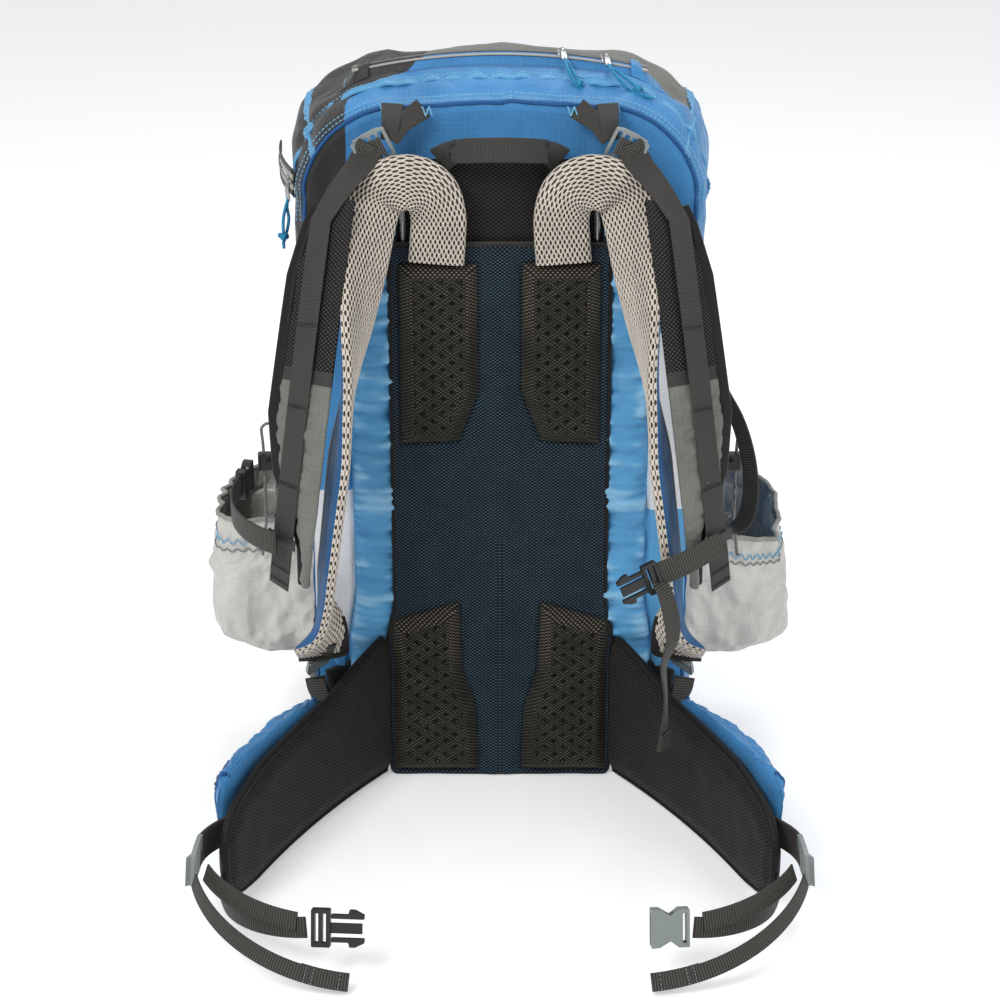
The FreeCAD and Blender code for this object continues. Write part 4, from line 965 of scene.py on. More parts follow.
def far_seams(P):
    """Two upright seams and one level seam on the far side, with their stitches."""
    cap = P[bag_rows()["far"]:]
    strips, rows = [], []
    lines = [[(x, z) for z in np.linspace(78, 540, 60)] for x in (-66, 66)]
    lines.append([(x, 402) for x in np.linspace(-122, 122, 50)])
    for line in lines:
        x, z = np.array(line).T
        y = surface_at(cap, x, z, 1)
        path = np.stack([x, evened(y, 9) + 0.9, z], axis=1)
        strips.append(web("far_seam", path, (0, 1, 0), 8, 1.6, CHARCOAL))
        for shift in (-2.4, 2.4):
            rows.append(stitches("far_stitches", path + (0, 0.7, 0), (0, 1, 0), THREAD, shift=shift))
    dress(join("far_seam_bands", *strips), "bag", "shell_charcoal")
    dress(join("far_seam_stitches", *rows), "bag", "zip_tape")


def zip_garages(P):
    """The cloth tab that covers each end of the top zip."""
    top = P[bag_rows()["edge"]: bag_rows()["far"]]
    top = top[top[..., 2] > 430].reshape(1, -1, 3)
    arc = zip_arc()
    for side, name in SIDES.items():
        across = side * np.linspace(101, 124, 14)
        deep = np.linspace(54, 84, 22)
        X, Y = np.meshgrid(across, deep)
        rest = surface_at(top, X, Y, 2)
        for _ in range(12):
            rest[1:-1, 1:-1] = (rest[:-2, 1:-1] + rest[2:, 1:-1] + rest[1:-1, :-2] + rest[1:-1, 2:]) / 4
        line = arc.point(np.linspace(-arc.half, arc.half, 80))
        crest = np.interp(X, line[:, 0], line[:, 2]) + 3.6
        mound = ease((119 - np.abs(X)) / 16) * ease((14.5 - np.abs(Y - ZIP_DEPTH)) / 6)
        Z = np.maximum(rest + 1.4, crest * mound + (rest + 1.4) * (1 - mound))
        tab = np.stack([X, Y, Z], axis=2)
        obj = grid(f"{name}_zip_garage", tab, sheet_uv(tab), CHARCOAL if side < 0 else BLUE)
        thicken(obj, 1.4, 0.0)
        smoother(obj)
        dress(obj, "bag", "shell_blue")
        hem = stitches(
            f"{name}_garage_stitches", tab[2:-2, -3] + (0, 0, 1.0), (side * 0.5, 0, 1), THREAD, 2.8, 2.0)
        dress(hem, "bag", "zip_tape")


def zip_arc():
    """The line of the top zip."""
    return Arc(point(-104, ZIP_DEPTH, 581), point(104, ZIP_DEPTH, 581), UP, 11.0)


def zip_band(P):
    """The top zip: two tapes, the coil between them and the cloth that runs up to each tape."""
    rows = bag_rows()
    arc = zip_arc()
    angles = np.linspace(-arc.half - 1.2, arc.half + 1.2, 120)
    line, out = arc.point(angles, out=1.0), arc.outward(angles)
    tapes = []
    for shift in (-1, 1):
        across = np.broadcast_to(np.array([0, shift * 5.6, 0]), line.shape)
        tapes.append(web("zip_tape", line + across, out, 8.2, 1.3, ZIP_TAPE))
    coil = coil_teeth(line + out * 0.6, out, 3.6, 1.35)
    for row, shift in ((rows["zip_near"], -1), (rows["zip_far"], 1)):
        picked = (np.abs(P[row][:, 0]) < 110) & (P[row][:, 2] > 500)
        edge = P[row][picked]
        edge = edge[np.argsort(edge[:, 0])]
        inner = np.stack([np.interp(edge[:, 0], line[:, 0], column) for column in line.T], axis=1)
        inner[:, 1] += shift * 5.0
        inner[:, 2] += 0.9
        mid = (edge + inner) / 2 + (0, 0, 2.2)
        S = np.stack([edge, edge * 0.6 + inner * 0.4 + (0, 0, 2.0), mid, inner], axis=1)
        name, look = ("zip_flap_near", TOP_BLUE) if shift < 0 else ("zip_flap_far", TOP_STONE)
        flap = grid(name, S, sheet_uv(S), look)
        mark_charcoal(flap, S)
        smoother(flap, 2)
        thicken(flap, 1.2, 0.0)
        dress(flap, "bag", "shell_blue")
    dress(join("top_zip", *tapes, coil), "bag", "zip_tape", "top_zip_tape")


def coil_teeth(path, out, width, pitch):
    """The coil of a zip: small rounded bars side by side."""
    count = int(lengths(path)[-1] / pitch)
    both = resample(np.concatenate([path, out], axis=1), count)
    _, normal, across = frames(both[:, :3], both[:, 3:])
    return threads("zip_coil", both[:, :3] + normal * 0.5, across, normal, width, 0.62, ZIP_COIL)


def side_zip_arc():
    """The line of the small zip on the wearer's right."""
    return Arc(point(-158, 30, 500), point(-174, 122, 500), point(-1, 0, 0), 4.0)


def side_zip():
    """The small zip on the wearer's right side with its pale tape."""
    arc = side_zip_arc()
    angles = np.linspace(-arc.half, arc.half, 60)
    line, out = arc.point(angles, out=2.2), arc.outward(angles)
    tapes = [web("side_tape", line + (0, 0, s * 4.4), out, 6.4, 1.0, ZIP_TAPE) for s in (-1, 1)]
    coil = coil_teeth(line + out * 0.4, out, 3.0, 1.3)
    hems = [web("side_hem", line + (0, 0, s * 8.6) + out * 0.2, out, 4.5, 1.6, CHARCOAL) for s in (-1, 1)]
    dress(join("side_zip", *tapes, coil, *hems), "bag", "zip_tape", "side_zip_tape")


# ---------------------------------------------------------------- back panel


def pad_shapes():
    """Outlines of the four foam pads, seen from the wearer: x and z."""
    upper = np.array([(19, 442), (76, 442), (76, 298), (34, 300), (19, 340)], float)
    lower = np.array([(35, 155), (86, 140), (86, 8), (20, 8), (22, 62), (33, 98)], float)
    shapes = []
    for side in SIDES:
        shapes += [upper * (side, 1), lower * (side, 1)]
    return shapes


def inside_by(points, corners):
    """Signed distance from points to a polygon's edge, above 0 inside."""
    far = np.full(len(points), 1e9)
    inside = np.zeros(len(points), bool)
    for a, b in zip(corners, np.roll(corners, -1, axis=0)):
        edge, reach = b - a, points - a
        share = np.clip((reach @ edge) / (edge @ edge), 0, 1)
        far = np.minimum(far, np.linalg.norm(reach - share[:, None] * edge, axis=1))
        crosses = (a[1] > points[:, 1]) != (b[1] > points[:, 1])
        where = a[0] + (points[:, 1] - a[1]) * edge[0] / (edge[1] if abs(edge[1]) > 1e-9 else 1e-9)
        inside ^= crosses & (points[:, 0] < where)
    return np.where(inside, far, -far)


def back_half(z):
    """Half the back panel's width at a height."""
    return np.interp(z, (0, 14, 120, 160, 450, 458), (87, 90, 90, 84, 84, 81))


def perforations(x, z, depth):
    """Four-lobed holes pressed into the foam, 0 to 1."""
    pitch_x, pitch_z, lobe = 15.0, 12.0, 1.55
    found = np.zeros_like(x)
    for shift in (0.0, 0.5):
        cx = (x / pitch_x + shift) % 1 * pitch_x - pitch_x / 2
        cz = (z / pitch_z + shift) % 1 * pitch_z - pitch_z / 2
        for dx, dz in ((lobe, 0), (-lobe, 0), (0, lobe), (0, -lobe)):
            near = np.hypot(cx - dx, cz - dz)
            found = np.maximum(found, ease((1.75 - near) / 0.8))
    return found * (depth > 9)


def back_panel():
    """Spacer mesh over four foam pads, sewn down round each of them."""
    low, high, step = 1.0, 457.0, 0.95
    z = np.linspace(low, high, int((high - low) / step))
    share = np.linspace(-1, 1, 188)
    Z = z[:, None] * np.ones_like(share)
    X = share * back_half(z)[:, None]
    flat = np.stack([X.ravel(), Z.ravel()], axis=1)
    rise = np.zeros(len(flat))
    padded, slanted, pitted, valley = np.zeros((4, len(flat)))
    for shape in pad_shapes():
        depth = inside_by(flat, shape)
        crown = 8.6 * ease((depth + 1.2) / 9.0) ** 0.8 + 0.7 * ease(depth / 26)
        rise = np.maximum(rise, crown)
        padded = np.maximum(padded, ease((depth + 1.6) / 1.2))
        holes = perforations(flat[:, 0], flat[:, 1], depth)
        pitted = np.maximum(pitted, holes)
        # The upper slopes of each pad, which back_mesh paints with a highlight.
        steep = ease((depth + 0.5) / 1.5) * ease((9.0 - depth) / 3.0)
        heart = shape.mean(axis=0)
        slanted = np.maximum(slanted, steep * ease((flat[:, 1] - heart[1] - 10) / 40))
        valley = np.maximum(valley, np.exp(-((depth + 2.6) / 1.5) ** 2))
    middle = np.exp(-((np.abs(flat[:, 0]) - 1.9) / 1.0) ** 2) * ease((215 - flat[:, 1]) / 6)
    channel = ease((20 - np.abs(flat[:, 0])) / 16) * 1.6
    rise = rise - 1.7 * valley * (rise < 6) - pitted * 2.3 + channel * (1 - padded) - 0.9 * middle
    wander = noise_field(np.stack([flat[:, 0], np.zeros(len(flat)), flat[:, 1]], 1), 34, 5.0, 2)
    rise = rise + 0.7 * wander
    hem = ease((np.minimum(back_half(flat[:, 1]) - np.abs(flat[:, 0]), 458 - flat[:, 1])) / 5)
    Y = (0.6 - rise * hem - 0.4).reshape(Z.shape)
    P = np.stack([X, Y, Z], axis=2)
    uv = np.stack([X, Z], axis=2)
    obj = grid("back_panel_mesh", P, uv, BACK_MESH)
    for name, values in (("padded", padded), ("slanted", slanted), ("pitted", pitted)):
        mark(obj, name, values)
    thicken(obj, 1.6, 1.0)
    dress(obj, "bag", "back_mesh", "mesh_back_panel", "upper_back_pads", "lumbar_pads")
    back_binding()


def back_binding():
    """The smooth hem, the ribbon round the back panel's edge and the wall from it to the bag."""
    corner = [
        (-81, 457), (-84, 452), (-84, 300), (-84, 165), (-87, 140),
        (-90, 118), (-90, 40), (-89, 10), (-84, 2),
    ]
    right = [(x, 1.4, z) for x, z in corner]
    bottom = [(x, 1.0, 1.6 + 0.0005 * x * x) for x in (-60, -30, 0, 30, 60)]
    left = [(-x, y, z) for x, y, z in right[::-1]]
    path = curve_through(right + bottom + left, 520)
    binding = sweep("back_binding", path, (0, -1, 0), band(6.5, 3.4), BINDING)
    away = unit((path - path.mean(axis=0)) * (1, 0, 1))
    wall = web("back_wall", path + (0, 6.5, 0) - away * 1.2, away, 13, 1.8, BLACK_CLOTH)
    path_top = curve_through([(-83, 1.2, 455), (0, 0.8, 455.5), (83, 1.2, 455)], 120)
    hem = sweep("back_hem", path_top, (0, -1, 0), band(11, 3.0), WEB_SOFT)
    rows = [
        stitches("hem_stitches", path_top + (0, -1.6, up), (0, -1, 0), THREAD_BLACK) for up in (-3.6, 3.4)]
    dress(join("back_panel_binding", binding, wall, hem, *rows), "bag", "webbing")


def yoke():
    """The dark mesh yoke behind the strap roots, up to the haul loop."""
    x, z = np.linspace(-84, 84, 60), np.linspace(448, 524, 34)
    X, Z = np.meshgrid(x, z)
    P = np.stack([X, 7.5 + 0.0006 * X**2 * 0.4, Z], axis=2)
    P[..., 1] -= 1.3 * noise_field(P, 26, 2.0) + 1.5
    P[..., 0] *= 1 - 0.34 * ease((Z - 488) / 36)
    obj = grid("yoke_mesh", P, sheet_uv(P), WING_MESH)
    thicken(obj, 1.6, 0.0)
    smoother(obj)
    dress(obj, "bag", "back_mesh", "yoke_panel")


def side_strips():
    """The gathered blue strips either side of the back panel and the flat panels beyond them."""
    for side, name in SIDES.items():
        z = np.linspace(96, 508, 300)
        share = np.linspace(0, 1, 64)
        S, Z = np.meshgrid(share, z)
        inner = back_half(Z) - 1
        outer = 152 - 52 * ease((Z - 440) / 66) - 16 * ease((150 - Z) / 60)
        X = inner + (outer - inner) * S
        gathered = 35.0
        within = X - inner
        ruche = ease((gathered - within) / 3)
        roll = 5.0 * np.sin(np.clip(within / gathered, 0, 1) * np.pi) ** 0.8
        pucker = np.exp(-((within - 3) / 7) ** 2) + np.exp(-((within - gathered + 4) / 8) ** 2)
        flat = np.stack([X * 0.25, np.zeros_like(X), Z], axis=2)
        crimp = noise_field(flat, 8.5, 4.0 + side, 2) * 3.9 * (0.45 + pucker)
        crimp = crimp + noise_field(flat, 20, 8.0, 2) * 2.4
        Y = 4.5 + 5.0 * S - ruche * (roll + crimp) - (1 - ruche) * (1.2 + noise_field(flat, 40, 1.0) * 1.0)
        Y = Y + 4.5 * np.exp(-((within - gathered) / 2.2) ** 2) + 8.0 * ease((S - 0.94) / 0.06)
        P = np.stack([side * X, Y, Z], axis=2)

        def picks(i, j):
            flat_part = within[i, j] > gathered
            high, low = (384, 236) if side > 0 else (252, 112)
            pale = flat_part & (Z[i, j] < high) & (Z[i, j] > low)
            dark = flat_part & (side < 0) & ~pale
            return np.where(pale, 2, np.where(dark, 1, 0))

        obj = grid(f"{name}_back_strip", P, sheet_uv(P), [BLUE_SMOOTH, BLUE, WHITE], picks=picks)
        # How deep each crease is, which the material turns into a painted highlight on crests and painted
        # shade in hollows.
        mark(obj, "crease", ruche * crimp / 2.6)
        thicken(obj, 1.0, 0.0)
        smoother(obj)
        dress(obj, "bag", "shell_blue")
        edges = []
        for column in (2, int(np.argmin(np.abs(within[150] - gathered)))):
            line, out = P[:, column] + (0, -0.4, 0), (0, -1, 0)
            edges.append(stitches("strip_stitches", line, out, THREAD, pitch=4.2, length=2.2, radius=0.35))
        dress(join(f"{name}_strip_stitches", *edges), "bag", "zip_tape")


def haul_loop():
    """Wide flat webbing with its ends flared and sewn down."""
    arc = Arc(point(-36, -6, 533), point(36, -6, 533), point(0, -1, 0.35), 12.0)
    angles = np.linspace(-arc.half, arc.half, 70)
    share = np.abs(angles) / arc.half
    width = 19 - 1 * ease((share - 0.6) / 0.4)
    body = web("haul_web", arc.point(angles), arc.outward(angles), width, 2.8, WEB_SOFT)
    tabs = []
    for side in SIDES:
        x = side * np.array([34, 40, 46])
        path = curve_through([(x[0], -6.5, 533.5), (x[1], -4, 530), (x[2], -1, 525)], 24)
        tabs.append(web("haul_tab", path, (0, -1, 0), np.linspace(18, 22, 24), 2.4, WEB_SOFT))
        for z in (-5, 0, 5):
            row = curve_through([(x[0], -8.2, 533.5 + z), (x[1], -5.8, 530 + z), (x[2], -2.8, 525 + z)], 20)
            tabs.append(stitches("haul_stitches", row, (0, -1, 0.2), THREAD_BLACK))
    dress(join("haul_loop_webbing", body, *tabs), "haul_loop", "webbing", "haul_loop")


# ---------------------------------------------------------------- shoulder straps

STRAP_WIDTH = 50.0
STRAP_THICK = 11.0
# Degrees along the strap's arc, and how far its face is turned there.
STRAP_TILT = ((-43, -39, -35, -29, 0, 12, 22, 31, 37), (14, 24, 58, 98, 102, 88, 66, 45, 22))
# Shares of the strap's length, and its width there.
STRAP_WIDTHS = ((0, 0.12, 0.24, 0.4, 0.86, 0.94, 1.0), (43, 42, 42, STRAP_WIDTH, 46, 50, 34))
KEEPER_ANGLE = -13.0
WING_LEAN = 35.0
WING_OUT, WING_ACROSS = 9.0, 33.0
RAIL_OUT, RAIL_ACROSS = 8.4, 33.8


def strap_arc(side):
    """The line of one shoulder strap, from its foot up to its pivot on the yoke."""
    return Arc(point(side * 146, -28, 124), point(side * 96, -12, 503), point(0, -1, 0), 75.0)


def turned(arc, angle, side, tilt):
    """Two directions across the arc: along a strip's width and off its face, tilted by so many degrees."""
    lateral = -side * arc.side
    out = arc.outward(angle)
    t = np.radians(np.broadcast_to(tilt, (len(out),)))[:, None]
    return lateral * np.cos(t) + out * np.sin(t), out * np.cos(t) - lateral * np.sin(t)


def strap_line(side):
    """Path and outward direction of a strap, from its root on the back panel, over and down."""
    arc = strap_arc(side)
    hub = point(side * 71.5, -15, 488)
    knots = [(side * 49, -7.0, 446), (side * 47.5, -9.5, 466), (side * 47, -13, 486)]
    faces = [(0, -1, 0), (0, -1, 0.05), (0, -1, 0.15)]
    for turn in (140, 100, 60, 25):
        t = math.radians(turn)
        knots.append(hub + (side * 25 * math.cos(t), -5 * math.sin(t), 25 * math.sin(t)))
        faces.append(unit([side * 0.10 * math.cos(t), -1, 0.35 * math.sin(t)]))
    for angle in np.linspace(arc.half - 5, -arc.half, 14):
        knots.append(arc.point(angle)[0])
        tilt = np.interp(angle, *STRAP_TILT)
        _, face = turned(arc, angle, side, tilt)
        faces.append(face[0])
    return np.concatenate([np.array(knots), np.array(faces)], axis=1)


def padded_ring(width, thick):
    """A plump ring, from the middle of its mesh face: a rounded oblong with evenly spaced points."""
    t = np.linspace(0, 2 * np.pi, 1200, endpoint=False) + np.pi / 2
    x = np.sign(np.cos(t)) * np.abs(np.cos(t)) ** 0.42 * width / 2
    y = np.sign(np.sin(t)) * np.abs(np.sin(t)) ** 0.55 * thick / 2
    shape = np.stack([x, y, np.zeros_like(x)], axis=1)
    return resample(np.concatenate([shape, shape[:1]]), 145)[:-1, :2]


def strap_pad(side):
    """The padded strap: knitted mesh towards the wearer, navy fabric on its other face."""
    name = SIDES[side]
    rows = 620
    whole = curve_through(strap_line(side), rows)
    path, out = whole[:, :3], unit(whole[:, 3:])
    at = lengths(path)
    width = np.interp(at / at[-1], *STRAP_WIDTHS)
    thick = np.interp(at / at[-1], (0, 0.05, 0.2, 0.95, 1.0), (6, 8.5, STRAP_THICK - 1, STRAP_THICK, 6))
    full = padded_ring(STRAP_WIDTH, STRAP_THICK)
    ring = full[None] * np.stack([width / STRAP_WIDTH, thick / STRAP_THICK], axis=1)[:, None]
    around = lengths(np.concatenate([full, full[:1]]))
    u = np.where(around > around[-1] / 2, around - around[-1], around)[:-1]
    front = full[:, 1] > -STRAP_THICK * 0.30
    near = np.full((rows, len(full)), 9.0)
    for shift in (0.0, 0.5):
        du = ((u / HOLE_U + shift) % 1 - 0.5) / HOLE_WIDE
        dv = ((at / HOLE_V + shift) % 1 - 0.5) / HOLE_TALL
        near = np.minimum(near, np.hypot(du[None], dv[:, None]))
    pit = ease((1.35 - near) / 0.8) * front[None]
    P = sweep_points(path, out, ring)
    normal = unit(P - path[:, None])
    flatter = unit(normal * 0.4 + out[:, None] * np.sign(full[:, 1])[None, :, None] * 0.6)
    P = P - flatter * pit[..., None] * 1.25
    uv = np.zeros((rows, len(full) + 1, 2))
    uv[:, :-1, 0] = u
    uv[..., 1] = at[:, None]
    picks = lambda i, j: np.where(front[j] & front[(j + 1) % len(full)], 0, 1)
    obj = grid(f"{name}_strap_mesh", P, uv, [STRAP_MESH, NAVY], wrap=True, caps=True, picks=picks)
    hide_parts(f"{name}_strap_pad")
    if side > 0:
        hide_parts("strap_roots")
    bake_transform(obj)
    strap_edge(side, path, out, width, thick)
    strap_foot(side, path, out)


def strap_edge(side, path, out, width, thick):
    """The grey ribbon along the pad's rear edge."""
    name = SIDES[side]
    _, normal, across = frames(path, out)
    outer = across * np.sign((across * (side, 0, 0)).sum(1).mean())
    start = int(len(path) * 0.36)
    stop = int(len(path) * 0.985)
    edge = (path - outer * (width / 2 - 2.5)[:, None] - normal * (thick * 0.36)[:, None])[start:stop]
    ribbon = sweep(f"{name}_strap_ribbon", edge[::4], normal[start:stop:4], band(8, 3.0), BINDING_GREY)
    dress(ribbon, f"{name}_shoulder_strap", "webbing")


def strap_foot(side, path, out):
    """The stitched end of the pad, narrowed to the lock's webbing, with a slanting double row of thread."""
    name = SIDES[side]
    tangent, normal, across = frames(path, out)
    end, face = path[-1], normal[-1]
    along, wide = tangent[-1], across[-1]
    line = curve_through([end - along * 20 + face * 2.6, end + along * 2 + face * 1.8, end + along * 13], 30)
    tab = web(f"{name}_foot_web", line, face, np.linspace(26, 15, 30), 1.8, WEB_BLACK)
    parts = [tab]
    first = end - along * 17 + wide * 8 + face * 3.7
    last = end - along * 3 - wide * 8 + face * 3.2
    for shift in (-0.8, 0.8):
        row = np.linspace(first, last, 12)
        parts.append(stitches("foot_cross", row, face, THREAD_BLACK, 2.2, 2.0, 0.6, shift=shift))
    inner = -wide * np.sign(wide[0] * side)
    back = int(len(path) * 0.925)
    towards = np.sign((across[back:] * inner).sum(1))[:, None]
    hem = path[back:] + across[back:] * towards * 20 + normal[back:] * 3.0
    bottom = [end + inner * 17 + face * 2.2, end + face * 3.2, end - inner * 17 + face * 2.2]
    trim = curve_through(np.concatenate([hem[::6], bottom]), 70)
    parts.append(web(f"{name}_foot_trim", trim, face, 7.5, 2.4, BINDING))
    dress(join(f"{name}_strap_foot", *parts), f"{name}_shoulder_strap", "webbing")


def strap_wing(side):
    """The stretch pocket round the strap's outer edge: open mesh above, grey fabric below."""
    name = SIDES[side]
    arc = strap_arc(side)
    angles = np.linspace(-20, 39, 230)
    share = np.linspace(0, 1, 42)
    wide, face = turned(arc, angles, side, -WING_LEAN)
    root = arc.point(angles, out=WING_OUT, across=-side * WING_ACROSS) - wide * 25
    root = root - arc.outward(angles) * 3
    reach = np.interp(angles, (-20, -14, -9, -3, 6, 28, 36, 39), (5, 9, 20, 40, 50, 48, 40, 34))
    P = root[:, None] + wide[:, None] * (share[None, :] * reach[:, None])[..., None]
    cloth = ease((14 - angles) / 6)[:, None]
    puff = 4.0 * np.sin(share * np.pi)[None, :] ** 0.7 * (0.4 + 0.6 * cloth)
    wrinkle = noise_field(P * (1, 1, 1.5), 15, 6.0 + side, 3) * 2.0 * cloth + noise_field(P, 30, 2.0) * 1.0
    edge = ease(np.minimum(share, 1 - share) / 0.12)[None, :]
    P = P + face[:, None] * ((puff + wrinkle) * edge)[..., None]

    def picks(i, _):
        return np.where(angles[i] > 13.5, 0, np.where(angles[i] > 11.5, 1, 2))

    obj = grid(f"{name}_strap_wing", P, sheet_uv(P), [OPEN_MESH, WEB_SOFT, STONE], picks=picks)
    thicken(obj, 2.2, 0.0)
    dress(obj, f"{name}_shoulder_strap", "pocket_ripstop", f"{name}_strap_pocket")
    both = resample(np.concatenate([P[::-1, -1], face[::-1]], axis=1), 260)
    normal = frames(both[:, :3], unit(both[:, 3:]))[1]
    bound = sweep(f"{name}_wing_binding", both[:, :3], normal, band(11, 6.0), BINDING)
    dress(bound, f"{name}_shoulder_strap", "webbing")
    strap_rail(side, arc)


def strap_rail(side, arc):
    """The long webbing on the wing, with sewn ends and the keeper's track."""
    name = SIDES[side]
    angles = np.linspace(-22, 36, 150)
    face = turned(arc, angles, side, -WING_LEAN)[1]
    lift = 5.0 / 2 + 0.5 + 1.5 / 2
    lean = math.radians(WING_LEAN)
    track = {
        "out": RAIL_OUT + math.cos(lean) * lift,
        "across": -side * (RAIL_ACROSS + math.sin(lean) * lift),
    }
    path = arc.point(angles, **track)
    lock = centre_of(f"{name}_lifter_lock")
    lead = curve_through([path[-1], path[-1] * 0.55 + lock * 0.45 + face[-1] * 3, lock], 30)
    whole = np.concatenate([path, lead[1:]])
    faces = unit(np.concatenate([face, np.linspace(face[-1], (0, -1, 0.2), 29)]))
    rail = web(f"{name}_rail_web", whole, faces, 19.0, 1.5, WEB_SOFT)
    pieces = [rail]
    for at in (-21.0, -18.5, -4.0, 8.0, 20.0):
        w, f = turned(arc, at, side, -WING_LEAN)
        spot = arc.point(at, **track)[0]
        row = np.linspace(spot - w[0] * 7.5 + f[0] * 0.8, spot + w[0] * 7.5 + f[0] * 0.8, 8)
        for _ in range(2):
            pieces.append(stitches("rail_tack", row, f[0], THREAD_BLACK, 2.0, 1.7, 0.5))
            row = row + np.cross(w[0], f[0]) * 1.6
    obj = join(f"{name}_strap_rail_web", *pieces)
    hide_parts(f"{name}_strap_rail")
    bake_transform(obj)


def lifter(side):
    """The two-legged anchor above a strap, its webbing and its zigzag bartacks."""
    name = SIDES[side]
    lock = centre_of(f"{name}_lifter_lock")
    legs = []
    start = np.array((side * 79, -7.5, 545))
    inner = curve_through([start + (side * 3, 0, -3), start + (side * -6, 5, 9), (side * 58, 8, 563)], 24)
    outer = curve_through([start + (side * 5, 0, -3), start + (side * 3, 4, 11), (side * 81, 9, 566)], 24)
    for path in (inner, outer):
        legs.append(web("lifter_leg", path, (0, -1, 0.35), np.linspace(12, 17, 24), 1.6, WEB_SOFT))
    along = unit(np.array((side * 0.88, -0.1, -0.42)))
    through = lock + (0, -3.2, 0) + along * np.linspace(-8, 9, 12)[:, None]
    legs.append(web("lifter_threaded", through, (0, -1, -0.1), 14, 1.5, WEB_BLACK))
    down = unit(np.array((side * 0.52, 0.12, -1.0)))
    folded = lock + (side * 5, -4.6, 4) + down * np.linspace(-2, 27, 16)[:, None]
    legs.append(web("lifter_folded", folded, (0, -1, -0.1), 15, 1.5, WEB_BLACK))
    for centre in (point(side * 60, 6.2, 561), point(side * 82, 7.2, 563)):
        row = np.linspace(centre - (9, 0, 0), centre + (9, 0, 0), 12)
        legs.append(stitches("lifter_tack", row, (0, -1, 0.6), THREAD, 2.1, 2.2, 0.5, zigzag=4.0))
    dress(join(f"{name}_lifter_webbing", *legs), "bag", "webbing", "lifter_anchors")


def lower_webbing(side):
    """Webbing from the bag's bottom corner up to the strap's lower lock, and the tab it is sewn to."""
    name = SIDES[side]
    tab_shape = np.array([(96, 28), (136, 30), (144, 92), (96, 114)], float)
    u, v = np.meshgrid(np.linspace(0, 1, 16), np.linspace(0, 1, 22))
    low = tab_shape[0] * (1 - u[..., None]) + tab_shape[1] * u[..., None]
    high = tab_shape[3] * (1 - u[..., None]) + tab_shape[2] * u[..., None]
    flat = low * (1 - v[..., None]) + high * v[..., None]
    crown = 8.6 - 2.0 * np.sin(u * np.pi) * np.sin(v * np.pi)
    P = np.stack([side * flat[..., 0], crown, flat[..., 1]], axis=2)
    tab = grid(f"{name}_tab", P, sheet_uv(P), BLACK_CLOTH)
    thicken(tab, 2.2, 0.0)
    dress(tab, "bag", "shell_charcoal", "lower_strap_webbing")
    path = curve_through([
        (side * 128, 6.4, 40), (side * 135, 4, 52), (side * 143, -2, 68), (side * 149, -10, 84),
        (side * 151, -13, 96)], 60)
    strip = web("lower_web", path, (0, -1, 0.2), 17, 1.6, WEB_BLACK)
    tail = curve_through([
        (side * 150, -15.5, 96), (side * 147, -18, 80), (side * 141, -15, 58), (side * 141, -17, 34)], 50)
    loose = web("lower_tail", tail, (side * 0.3, -1, 0.1), 16, 1.5, WEB_BLACK)
    rows = [
        stitches("tab_stitches", curve_through(line, 40), (0, -1, 0), THREAD_BLACK)
        for line in (
            [(side * 101, 6.2, 34), (side * 101, 6.2, 70), (side * 101, 6.2, 106)],
            [(side * 132, 5.8, 36), (side * 136, 5.8, 64), (side * 139, 5.8, 88)],
        )
    ]
    dress(join(f"{name}_lower_webbing", strip, loose, *rows), "bag", "webbing")


# ---------------------------------------------------------------- chest strap


def chest_straps():
    """The short left half with its hanging tail, and the right half that runs back along the bag."""
    keeper = strap_arc(1).point(KEEPER_ANGLE, out=14.0, across=-37.0)[0]
    start, end = keeper + (-7, -10, -3), keeper + (-44, -25, -16)
    path = curve_through([
        start + (9, 5, 3), start, (start + end) / 2 + (0, -4, 0.5), end, end + unit(end - start) * 9], 60)
    short = web("chest_short", path, (0.2, -1, 0), 19.5, 1.6, WEB_BLACK)
    drop = curve_through([
        end + (-7, -1.5, -6), end + (0, -7, -9), end + (6, -10, -26), end + (9, -9, -50), end + (3, -8, -74),
        end + (5, -7, -102), end + (4, -6, -146)], 130)
    turn = np.radians(58 - 22 * np.sin(np.linspace(0, 2.2 * np.pi, 130)))
    faces = np.stack([np.sin(turn), -np.cos(turn), 0.05 + 0 * turn], axis=1)
    tail = web("chest_tail", drop, faces, np.linspace(15, 14, 130), 1.4, WEB_BLACK)
    fold = web("chest_fold", drop[-14:] + faces[-14:] * 1.5, faces[-14:], 14.5, 1.6, WEB_BLACK)
    wide = unit(np.cross(faces[-12], (0, 0, 1)))
    row = np.linspace(drop[-12] - wide * 5.5, drop[-12] + wide * 5.5, 8) + faces[-12] * 2.6
    tack = stitches("chest_tack", row, faces[-12], THREAD_BLACK, 2.0, 1.7, 0.5)
    left = join("left_chest_webbing", short, tail, fold, tack)
    dress(left, "left_chest_strap", "webbing", "left_chest_strap")
    keeper = strap_arc(-1).point(KEEPER_ANGLE, out=14.0, across=37.0)[0]
    back = Arc(keeper + (-8, -5, 1), keeper + (-40, 90, 8), point(-1, 0, 0), 16.0)
    angles = np.linspace(-back.half, back.half, 80)
    path, outward = back.point(angles), back.outward(angles)
    path = np.concatenate([path[:1] - unit(path[1] - path[0]) * 6, path])
    outward = np.concatenate([outward[:1], outward])
    long = web("chest_long", path, outward, 19.5, 1.6, WEB_BLACK)
    row = np.linspace(path[66] + (-1, 0, -7), path[66] + (-1, 0, 7), 8)
    tack = stitches("chest_tack", row, (-1, -0.3, 0), THREAD_BLACK, 2.0, 1.7, 0.5)
    right = join("right_chest_webbing", long, tack)
    dress(right, "right_chest_strap", "webbing", "right_chest_strap")


# ---------------------------------------------------------------- hip belt


